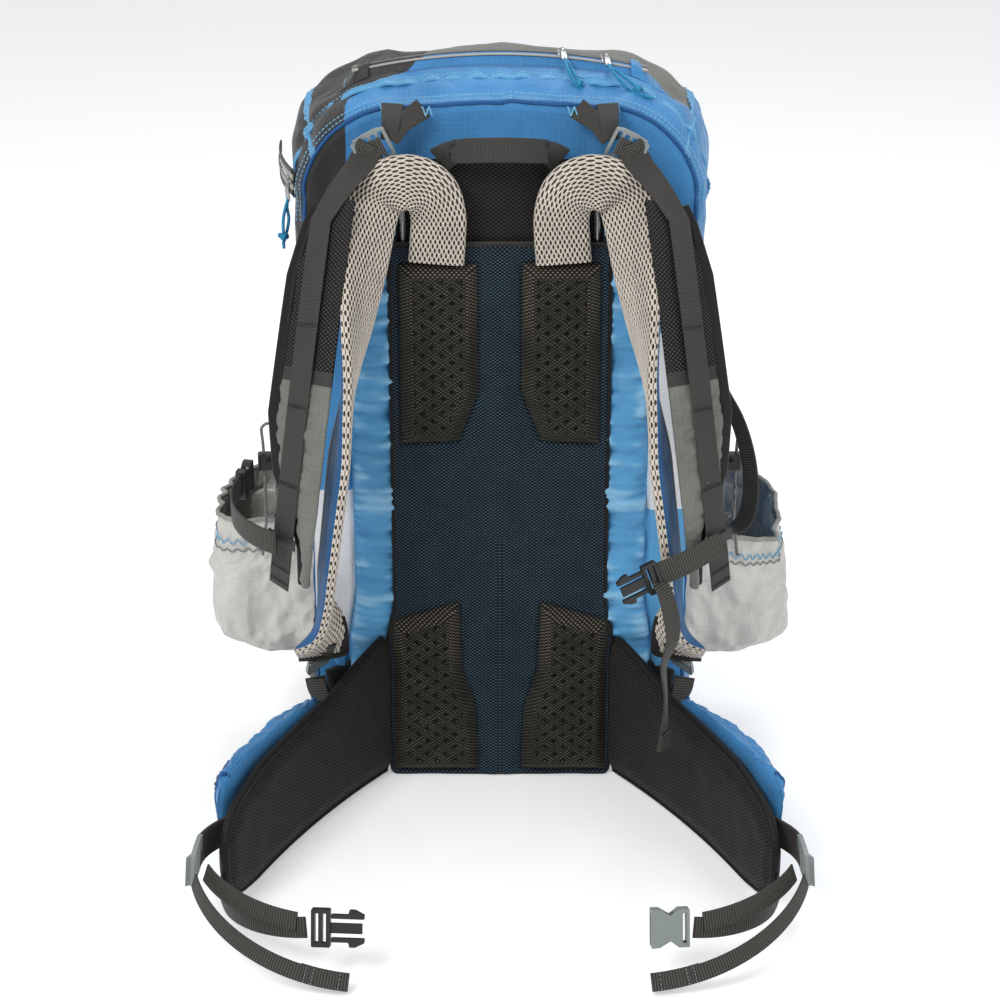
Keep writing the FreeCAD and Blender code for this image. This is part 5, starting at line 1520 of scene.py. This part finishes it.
def wing_arc(side):
    """The line of one hip wing, seen from above."""
    return Arc(point(side * 97, -2, 0), point(side * 206, -226, 0), point(side * 0.9, 0.44, 0), 10.0)


def wing_top(s):
    """Height of a wing's top edge at a distance from its root."""
    return np.interp(s, (-4, 30, 72, 130, 180, 225, 240, 248), (126, 116, 101, 96, 93, 82, 72, 58))


def wing_bottom(s):
    """Height of a wing's bottom edge at a distance from its root."""
    return np.interp(s, (-4, 200, 228, 240, 248), (5, 5, 9, 18, 36))


def hip_wing(side):
    """The curved padded wing: fine mesh inside, dark fabric outside, ribbon round its edge."""
    name, arc = SIDES[side], wing_arc(side)
    reach = math.radians(2 * arc.half) * arc.radius
    s = np.concatenate([np.linspace(-3, reach - 20, 150), np.linspace(reach - 20, reach - 1, 30)[1:]])
    angles = -arc.half + np.degrees(s / arc.radius)
    out, base = arc.outward(angles), arc.point(angles)
    t = np.linspace(0, 1, 74)
    low, high = evened(wing_bottom(s * 249 / reach), 9), evened(wing_top(s * 249 / reach), 9)
    Z = low[:, None] + (high - low)[:, None] * t
    edge = np.minimum(np.minimum(t, 1 - t)[None, :] * (high - low)[:, None], (reach - s)[:, None] + 2)
    plump = 2.2 + 4.4 * ease(edge / 15) ** 0.7
    for sign, look, label in ((-1, WING_MESH, "inner"), (1, BLACK_CLOTH, "outer")):
        lumps = noise_field(np.stack([s[:, None] + 0 * Z, Z, 0 * Z], 2), 38, 3.0 + side + sign, 2) * 0.9
        off = sign * (plump + lumps * ease(edge / 10))
        P = base[:, None] + out[:, None] * off[..., None] + UP * Z[..., None]
        uv = np.stack([s[:, None] + 0 * Z, Z], axis=2)
        skin = grid(f"{name}_wing_{label}", P, uv, look)
        slot, nodes = ("back_mesh", [f"{name}_hip_wing"]) if sign < 0 else ("shell_charcoal", [])
        dress(skin, f"{name}_hip_wing", slot, *nodes)
    top_line = np.stack([s, high], axis=1)
    tip_line = np.stack([np.full(30, s[-1]), np.linspace(high[-1], low[-1], 32)[1:-1]], axis=1)
    low_line = np.stack([s, low], axis=1)[::-1]
    rim = np.concatenate([top_line, tip_line, low_line])
    rim = resample(np.concatenate([rim, np.zeros((len(rim), 1))], axis=1), 420)[:, :2]
    rim = np.stack([evened(column, 11) for column in rim.T], axis=1)
    turn = -arc.half + np.degrees(rim[:, 0] / arc.radius)
    path = arc.point(turn) + UP * rim[:, 1:]
    binding = sweep(f"{name}_wing_binding", path, arc.outward(turn), band(5.6, 7.2), BINDING)
    dress(binding, f"{name}_hip_wing", "webbing")
    hip_pocket(side, arc)
    belt_loop(side, arc)


def hip_pocket(side, arc):
    """The puffy zipped pocket on the outside of the wing."""
    name = SIDES[side]
    rows, around = 78, 64
    angles = np.linspace(-4.4, 6.9, rows)
    middle = (angles[0] + angles[-1]) / 2
    share = (angles - middle) / (angles[-1] - middle)
    close = np.maximum(1 - np.abs(share) ** 5, 0.02) ** 0.5
    t = np.linspace(0, 2 * np.pi, around, endpoint=False)
    across = np.sign(np.cos(t)) * np.abs(np.cos(t)) ** 0.55
    depth = np.sign(np.sin(t)) * np.abs(np.sin(t)) ** 0.75
    z = 71 + 32 * across[None, :] * (0.55 + 0.45 * close[:, None])
    off = 7.4 + 8.2 * (1 + depth[None, :] * close[:, None])
    out, base = arc.outward(angles), arc.point(angles)
    P = base[:, None] + out[:, None] * off[..., None] + UP * z[..., None]
    pinned = np.zeros(P.shape[:2])
    pinned[:, depth < -0.4] = 1.0
    pinned[[0, -1]] = 1.0
    P = settle(P, True, pinned, 3.2, 0.09, 8.0, steps=20, stiff=8.0)
    free = (1 - pinned)[..., None]
    crumple = noise_field(P, 17, 11.0 + side, 3) * 3.0 + np.abs(noise_field(P, 9, 2.0, 2)) * -2.6
    P = P + out[:, None] * crumple[..., None] * free
    uv = np.zeros((rows, around + 1, 2))
    ringed = np.concatenate([P, P[:, :1]], axis=1)
    uv[:, 1:, 0] = np.cumsum(np.linalg.norm(np.diff(ringed, axis=1), axis=2), axis=1)
    uv[..., 1] = lengths(P[:, 0])[:, None]
    pouch = grid(f"{name}_hip_pouch", P, uv, BLUE, wrap=True, caps=True)
    smoother(pouch)
    dress(pouch, f"{name}_hip_wing", "shell_blue", f"{name}_hip_pocket")
    front = np.where(depth > 0.3)[0]
    crest = front[np.argmin(np.abs(P[rows // 2, front, 2] - 84))]
    zip_rows = np.arange(10, rows - 9)
    line = curve_through(P[zip_rows, crest] + out[zip_rows] * 1.0, 90)
    face = unit(curve_through(out[zip_rows] + (0, 0, 0.35), 90))
    band_tape = web("hip_tape", line, face, 12, 1.4, BINDING_BLUE)
    coil = coil_teeth(line + face * 0.5, face, 3.2, 1.35)
    dress(join(f"{name}_hip_zip", band_tape, coil), f"{name}_hip_wing", "zip_tape")
    for row, label in ((5, "near"), (rows - 6, "far")):
        seam = curve_through(P[row][depth > -0.4][::3], 60)
        strip = sweep(f"{name}_pouch_seam_{label}", seam, out[row], circle(1.6, 8), BINDING_BLUE)
        dress(strip, f"{name}_hip_wing", "shell_blue")


def belt_loop(side, arc):
    """The sewn loop near the wing's tip and the webbing bar stitched over it."""
    name = SIDES[side]
    tip = point(side * 222, -217, 56)
    root = arc.point(arc.half * 0.72, out=6.5)[0] + UP * 58
    between = root * 0.4 + tip * 0.6 + (side * 2, 0, 0)
    path = curve_through([root, between, tip, tip + (side * 2.5, -10, -0.5)], 40)
    face = unit(np.array([side, 0.3, 0.0]))
    sewn = web(f"{name}_loop", path, face, 24, 2.6, WEB_BLACK)
    rows = []
    for k in (3, 7, 24):
        row = np.linspace(path[k] + (0, 0, -9), path[k] + (0, 0, 9), 10) + face * 1.6
        rows.append(stitches("loop_tack", row, face, THREAD_GREY, 2.2, 1.9, 0.5))
    dress(join(f"{name}_belt_loop", sewn, *rows), f"{name}_hip_wing", "webbing")


def waist_strap(side):
    """Lower webbing to the buckle, the return to the ladder lock, and the loose folded tail."""
    name = SIDES[side]
    tip, buckle = point(side * 204, -246, 26), point(side * 139, -304, 40)
    forward = point(side * 0.78, -0.62, 0)
    lower = Arc(tip, buckle, forward, 14.0)
    angles = np.linspace(-lower.half, lower.half, 60)
    path = lower.point(angles)
    lead = np.array([path[0] + (side * 5, 26, 5), path[0] + (side * 3.5, 12, 2)])
    path = curve_through(np.concatenate([lead, path[::6], path[-1:]]), 90)
    wobble = np.sin(lengths(path) / 26)[:, None] * (0, 0, 1.2)
    turns = lower.outward(angles)
    faces = unit(curve_through(np.concatenate([turns[:1], turns[::10]]), 90))
    first = web("belt_lower", path + wobble, faces + (0, 0, 0.12), 16, 1.7, WEB_BLACK)
    back = Arc(point(side * 217, -246, 50), buckle + forward * 5 + (side * 3, 4, 3), forward, 10.0)
    angles = np.linspace(-back.half, back.half, 60)
    path = back.point(angles)
    second = web("belt_return", path, back.outward(angles) + (0, 0, 0.3), 14.5, 1.6, WEB_BLACK)
    out = point(side * 0.62, -0.78, 0)
    loose = Arc(point(side * 225, -254, 48), point(side * 108, -330, 9), out, 26.0)
    angles = np.linspace(-loose.half, loose.half, 90)
    path = loose.point(angles)
    twist = np.linspace(0.1, 0.7, 90)[:, None] * (0, 0, 1.0)
    faces = unit(loose.outward(angles) + twist)
    tail = web("belt_tail", path, faces, 13, 1.5, WEB_BLACK)
    fold = web("belt_fold", path[-22:] - faces[-22:] * 2.0, faces[-22:], 13.5, 2.4, WEB_BLACK)
    rows = []
    _, normal, across = frames(path, faces)
    for k in (-19, -16, -5):
        row = np.linspace(path[k] - across[k] * 5.0, path[k] + across[k] * 5.0, 9)
        rows.append(stitches("tail_tack", row + normal[k] * 1.1, normal[k], THREAD_GREY, 2.0, 1.8, 0.5))
    dress(
        join(f"{name}_waist_webbing", first, second, tail, fold, *rows),
        f"{name}_waist_strap", "webbing", f"{name}_waist_strap")


# ---------------------------------------------------------------- side pockets


def plan_line(side, count):
    """The pocket's wall from above, from its near edge on the bag round to its far edge."""
    near, far, outer, r = 23.0, 156.0, 237.0, 44.0
    turn = np.radians(np.linspace(-90, 0, 12))
    points = [(x, near - 5 * ease((170 - x) / 18)) for x in np.linspace(148, outer - r, 8, endpoint=False)]
    points += [(outer - r + r * math.cos(t), near + r + r * math.sin(t)) for t in turn]
    points += [(outer - r + r * math.cos(t), far - r - r * math.sin(t)) for t in turn[::-1]]
    points += [(x, far) for x in np.linspace(outer - r, 166, 6)[1:]]
    flat = np.array([(side * x, y, 0) for x, y in points])
    return resample(flat, count)


def side_pocket(side):
    """A slack stretch pocket with a gathered rim, a rounded floor and zigzag stitching."""
    name = SIDES[side]
    around, rows = 120, 70
    plan = plan_line(side, around)
    share = np.linspace(0, 1, around)
    height = np.linspace(0, 1, rows)
    heart = point(side * 160, 90, 0)
    drop = 13 + 6 * np.sin(share * np.pi)
    if side > 0:
        drop = 6 + (20 + 18 * ease((share - 0.05) / 0.4)) * (1 - ease((share - 0.5) / 0.45))
    z = 90 + 144 * height[:, None] - drop * height[:, None] ** 1.5
    grow = 0.40 + 0.60 * ease((height + 0.02) / 0.24) ** 0.6
    grow = grow * (1.0 - 0.05 * ease((height - 0.8) / 0.2))
    sag = 1 + 0.03 * np.sin(height * np.pi)[:, None] * np.sin(share * np.pi)[None]
    P = np.zeros((rows, around, 3))
    reach = plan - heart
    P[..., 0] = heart[0] + reach[None, :, 0] * grow[:, None] * sag
    P[..., 1] = heart[1] + reach[None, :, 1] * (0.35 + 0.65 * grow)[:, None]
    P[..., 2] = z
    P[..., 2] = np.where(height[:, None] < 0.06, P[..., 2] + (1 - grow[:, None]) * 2, P[..., 2])
    pinned = np.zeros(P.shape[:2])
    pinned[:, [0, 1, -2, -1]] = 1.0
    pinned[[0, -2, -1]] = 1.0
    P = settle(P, False, pinned, 1.6, 0.06, 7.0, steps=18, stiff=6.0)
    outward = unit((P - heart) * (1, 1, 0))
    free = np.clip(np.minimum(share, 1 - share) / 0.05, 0, 1)[None, :] * np.clip(height / 0.1, 0, 1)[:, None]
    fold = noise_field(P * (1, 1, 0.55), 30, 7.0 + 3 * side, 3) * 6.0
    fine = -np.abs(noise_field(P * (1, 1, 0.7), 12, 3.0, 2)) * 2.0
    gather = np.sin(share * 70 + 3 * np.sin(share * 9))[None, :] * 0.9 * ease((height - 0.86) / 0.14)[:, None]
    P = P + outward * ((fold + fine) * free + gather)[..., None]
    P[..., 0] = np.where(side * P[..., 0] > 243, side * 243, P[..., 0])
    centre = P[0].mean(axis=0) + (0, 0, -3)
    floor = [centre + (P[0] - centre) * t for t in (0.02, 0.5)]
    P = np.concatenate([floor, P])
    rows = len(P)
    outward = np.concatenate([outward[:2], outward])
    obj = grid(f"{name}_side_pouch", P, sheet_uv(P), PALE)
    thicken(obj, 1.3, -1.0 if side > 0 else 1.0)
    smoother(obj)
    dress(obj, "bag", "pocket_ripstop", f"{name}_side_pocket")
    inner = (P - outward * 2.6)[rows // 3: -1]
    lining = grid(f"{name}_pouch_lining", inner, sheet_uv(inner), POCKET_MESH)
    dress(lining, "bag", "pocket_ripstop")
    hem = curve_through(P[-1] + UP * 0.5, 260)
    rim = sweep(f"{name}_pouch_rim", hem, UP, circle(2.0, 8), BINDING_PALE)
    dress(rim, "bag", "elastic_cord")
    lines = []
    for row, look, swing in ((rows - 11, THREAD, 2.8), (rows - 15, THREAD_GREY, 1.6)):
        path = curve_through(P[row, 3:-3], 240)
        face = unit(curve_through(outward[row, 3:-3], 240))
        path = path + face * 0.8
        lines.append(stitches("pouch_zigzag", path, face, look, pitch=4.4, radius=0.55, zigzag=swing))
    dress(join(f"{name}_pouch_stitches", *lines), "bag", "zip_tape")


def laces():
    """Each pocket's elastic cord: up from the rim, through the lock, round its loop and back."""
    for side, name in SIDES.items():
        spot = point(side * 184, 12, 0)
        points = []
        rising = [(4.6, 222), (4.6, 238), (4.6, 256), (4.6, 276), (5.2, 292)]
        points += [spot + (-wide, 0, z) for wide, z in rising]
        for t in np.radians(np.linspace(160, 20, 7)):
            points.append(spot + (6.4 * math.cos(t), 0, 300 + 8.0 * math.sin(t)))
        points += [spot + (wide, 0, z) for wide, z in rising[::-1]]
        lace = cord("lace", points, 1.25, GREY_CORD, 130)
        tails = []
        for hand in (-1, 1):
            foot = spot + (hand * 4.6, 0, 224)
            bends = [foot, foot + (hand * 2, 4, -12), foot + (hand * 5, 10, -34)]
            tails.append(cord("lace_foot", bends, 1.25, GREY_CORD, 20))
        ball = knot("lace_knot", spot + (0, 0.5, 229), UP, 2.6, 1.1, GREY_CORD)
        both = join(f"{name}_pocket_lace", lace, *tails, ball)
        dress(both, "bag", "elastic_cord", "pocket_laces")


def compression_strap():
    """A doubled webbing loop that hangs over the wearer's left pocket."""
    path = curve_through([
        (164, 6, 346), (164, -4, 322), (162, -10, 292), (165, -14, 262), (172, -17, 240), (184, -18, 230),
        (195, -16, 238), (199, -12, 260), (196, -6, 288), (187, 3, 316), (174, 8, 340)], 170)
    tangent = unit(np.gradient(path, axis=0))
    face = np.cross(tangent, unit([-0.62, 0.8, 0]))
    strap = web("compression_strap", path, face, 17.5, 1.7, WEB_BLACK)
    rows = []
    for k in (58, 62):
        across = unit(np.cross(tangent[k], face[k]))
        row = np.linspace(path[k] - across * 7, path[k] + across * 7, 8) - face[k] * 1.2
        rows.append(stitches("compression_tack", row, -face[k], THREAD_GREY, 2.0, 1.8, 0.5))
    dress(join("side_compression_webbing", strap, *rows), "bag", "webbing", "side_compression_strap")


# ---------------------------------------------------------------- sliders and cords


def slider(name, node, seat, up, forward, pulls):
    """A zip slider with its pull tab and a knotted cord. Forward is where the tab lies."""
    up, forward = unit(up), unit(forward)

    def line(offsets, count):
        return curve_through([seat + forward * ahead + up * lift for ahead, lift in offsets], count)

    base = line(((-6, 1.2), (-3, 1.2), (2, 1.2), (6, 1.2)), 14)
    body = sweep("slider_shell", base, up, band(8.4, 2.2), SILVER)
    arch = line(((-4, 2.4), (-2, 4.6), (2, 4.6), (4, 2.6)), 20)
    bridge = sweep("slider_bridge", arch, up, band(2.4, 1.3), SILVER)
    tab = line(((1, 4.0), (6, 4.4), (12, 3.4), (17, 2.0)), 24)
    width = np.interp(np.linspace(0, 1, 24), (0, 0.3, 0.9, 1), (3.4, 4.6, 5.2, 3.6))
    puller = web("slider_tab", tab, up, width, 1.3, SILVER)
    parts = [body, bridge, puller]
    start = tab[-3]
    for bend in pulls:
        knots = [start] + [start + np.array(b) for b in bend]
        parts.append(cord("pull", knots, 1.25, CYAN_CORD, 60))
    bend, end = np.array(pulls[0][-2:])
    parts.append(knot("pull_knot", start + bend, end - bend, 3.4, 1.4, CYAN_CORD))
    dress(join(name, *parts), node, "zip_metal", node)


def sliders():
    """The five zip sliders, each with two runs of cord."""
    arc = zip_arc()
    for name, angle, drift in (("left", 9.4, 1.0), ("right", 5.5, 0.5)):
        seat, up = arc.point(angle, out=1.2)[0], arc.outward(angle)[0]
        pulls = [
            [(3, -5, -2), (12 * drift, -12, -7), (22 * drift, -19, -15), (27 * drift, -23, -25)],
            [(1, -6, -1), (6 * drift, -16, -6), (17 * drift, -21, -16), (34 * drift, -20, -22)],
        ]
        slider(f"{name}_zip_pull", f"{name}_zip_slider", seat, up, (0.1, -1, -0.15), pulls)
    side_arc = side_zip_arc()
    centre = centre_of("side_zip_slider")
    angles = np.linspace(-side_arc.half, side_arc.half, 200)
    line = side_arc.point(angles, out=2.0)
    k = int(np.argmin(np.linalg.norm((line - centre)[:, :2], axis=1)))
    pulls = [
        [(-2, -2, -6), (-4, -4, -16), (-4, -6, -28), (-4, -6, -38)],
        [(-1, -1, -6), (0, 0, -16), (-2, -2, -27), (-5, -3, -36)],
    ]
    seat = line[k] + (3, -3, 0)
    slider("side_zip_pull", "side_zip_slider", seat, (-0.75, -0.65, 0), (-0.1, -0.1, -1), pulls)
    for side, name in SIDES.items():
        wing = wing_arc(side)
        out = wing.outward(0.0)[0]
        seat = wing.point(0.0, out=24.5)[0] + UP * 84
        pulls = [
            [(side * 2, -1, -6), (side * 6, -3, -14), (side * 9, -3, -24), (side * 10, -6, -34)],
            [(side * 1, 1, -6), (side * 3, -2, -15), (side * 7, -5, -25), (side * 12, -7, -33)],
        ]
        slider(f"{name}_hip_pull", f"{name}_hip_slider", seat, out, (0, 0, -1), pulls)


# ---------------------------------------------------------------- hardware that stays as CAD made it


def hardware():
    """Moulded and metal parts keep their CAD shape, with softened edges and their own materials."""
    looks = {
        "belt_lock": GREY_PLASTIC, "lifter_lock": GREY_PLASTIC, "lower_lock": GREY_PLASTIC,
        "chest_keeper": BLACK_PLASTIC, "chest_plug": BLACK_PLASTIC, "chest_socket": BLACK_PLASTIC,
        "cord_lock": BLACK_PLASTIC, "cord_plunger": BLACK_PLASTIC, "waist_plug": BLACK_PLASTIC,
        "upper_prong": BLACK_PLASTIC, "lower_prong": BLACK_PLASTIC, "waist_socket": GREY_PLASTIC,
        "frame_sheet": SHEET_PLASTIC, "frame_stays": ALLOY,
    }
    for node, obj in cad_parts.items():
        look = next((looks[key] for key in looks if node.endswith(key)), None)
        if look is None:
            continue
        obj.data.materials.clear()
        obj.data.materials.append(look)
        modifier(obj, "WELD", merge_threshold=0.00002)
        soft = 0.0024 if node.endswith("cord_lock") else 0.0006
        modifier(obj, "BEVEL", width=soft, segments=3, limit_method="ANGLE", angle_limit=math.radians(32))
        for face in obj.data.polygons:
            face.use_smooth = False


# ---------------------------------------------------------------- studio


def studio():
    """Pale floor, soft lights and the camera. The sky lights the pack less than it shows to the camera."""
    scene = bpy.context.scene
    world = bpy.data.worlds.new("studio")
    world.use_nodes = True
    sky = world.node_tree.nodes["Background"]
    sky.inputs[0].default_value = (0.96, 0.98, 1.0, 1)
    seen = world.node_tree.nodes.new("ShaderNodeLightPath").outputs["Is Camera Ray"]
    span = world.node_tree.nodes.new("ShaderNodeMapRange")
    world.node_tree.links.new(seen, span.inputs["Value"])
    span.inputs["To Min"].default_value = 0.56
    span.inputs["To Max"].default_value = 1.0
    world.node_tree.links.new(span.outputs[0], sky.inputs[1])
    scene.world = world
    scene.view_settings.view_transform = "Standard"
    bpy.ops.mesh.primitive_plane_add(size=90, location=(0, 0, 0))
    floor = bpy.context.object
    floor.name = "studio_floor"
    look = Look("studio_floor", rough=0.7)
    look.put("Emission Color", (1, 1, 1, 1))
    look.put("Emission Strength", 0.30)
    tone = look.mix(look.noise(900, 2), (0.86, 0.87, 0.88, 1), (0.9, 0.9, 0.9, 1))
    floor.data.materials.append(look.done(tone))
    target = Vector((0, BACK + 0.05, 0.3))
    for name, place_at, size, energy in (
        ("key", (-1.1, -1.7, 2.1), 1.0, 34),
        ("fill", (1.9, -1.2, 1.2), 1.6, 10),
        ("top", (0.2, 0.9, 2.3), 1.2, 20),
    ):
        lamp = bpy.data.lights.new(name, "AREA")
        lamp.size = size
        lamp.energy = energy
        obj = bpy.data.objects.new(name, lamp)
        obj.location = place_at
        obj.rotation_euler = (target - Vector(place_at)).to_track_quat("-Z", "Y").to_euler()
        scene.collection.objects.link(obj)
    camera = bpy.data.objects.new("camera", bpy.data.cameras.new("camera"))
    camera.data.lens = 90
    camera.data.sensor_width = 36
    aim = Vector((0, BACK, 0.247))
    camera.location = aim + Vector((0, -1.854, 0.749))
    camera.rotation_euler = (aim - camera.location).to_track_quat("-Z", "Y").to_euler()
    scene.collection.objects.link(camera)
    scene.camera = camera


# ---------------------------------------------------------------- the whole pack


shell = bag()
zip_band(shell)
zip_garages(shell)
far_seams(shell)
side_zip()
back_panel()
yoke()
side_strips()
haul_loop()
for hand in SIDES:
    strap_pad(hand)
    strap_wing(hand)
    lifter(hand)
    lower_webbing(hand)
    hip_wing(hand)
    waist_strap(hand)
    side_pocket(hand)
chest_straps()
laces()
compression_strap()
sliders()
hardware()
studio()
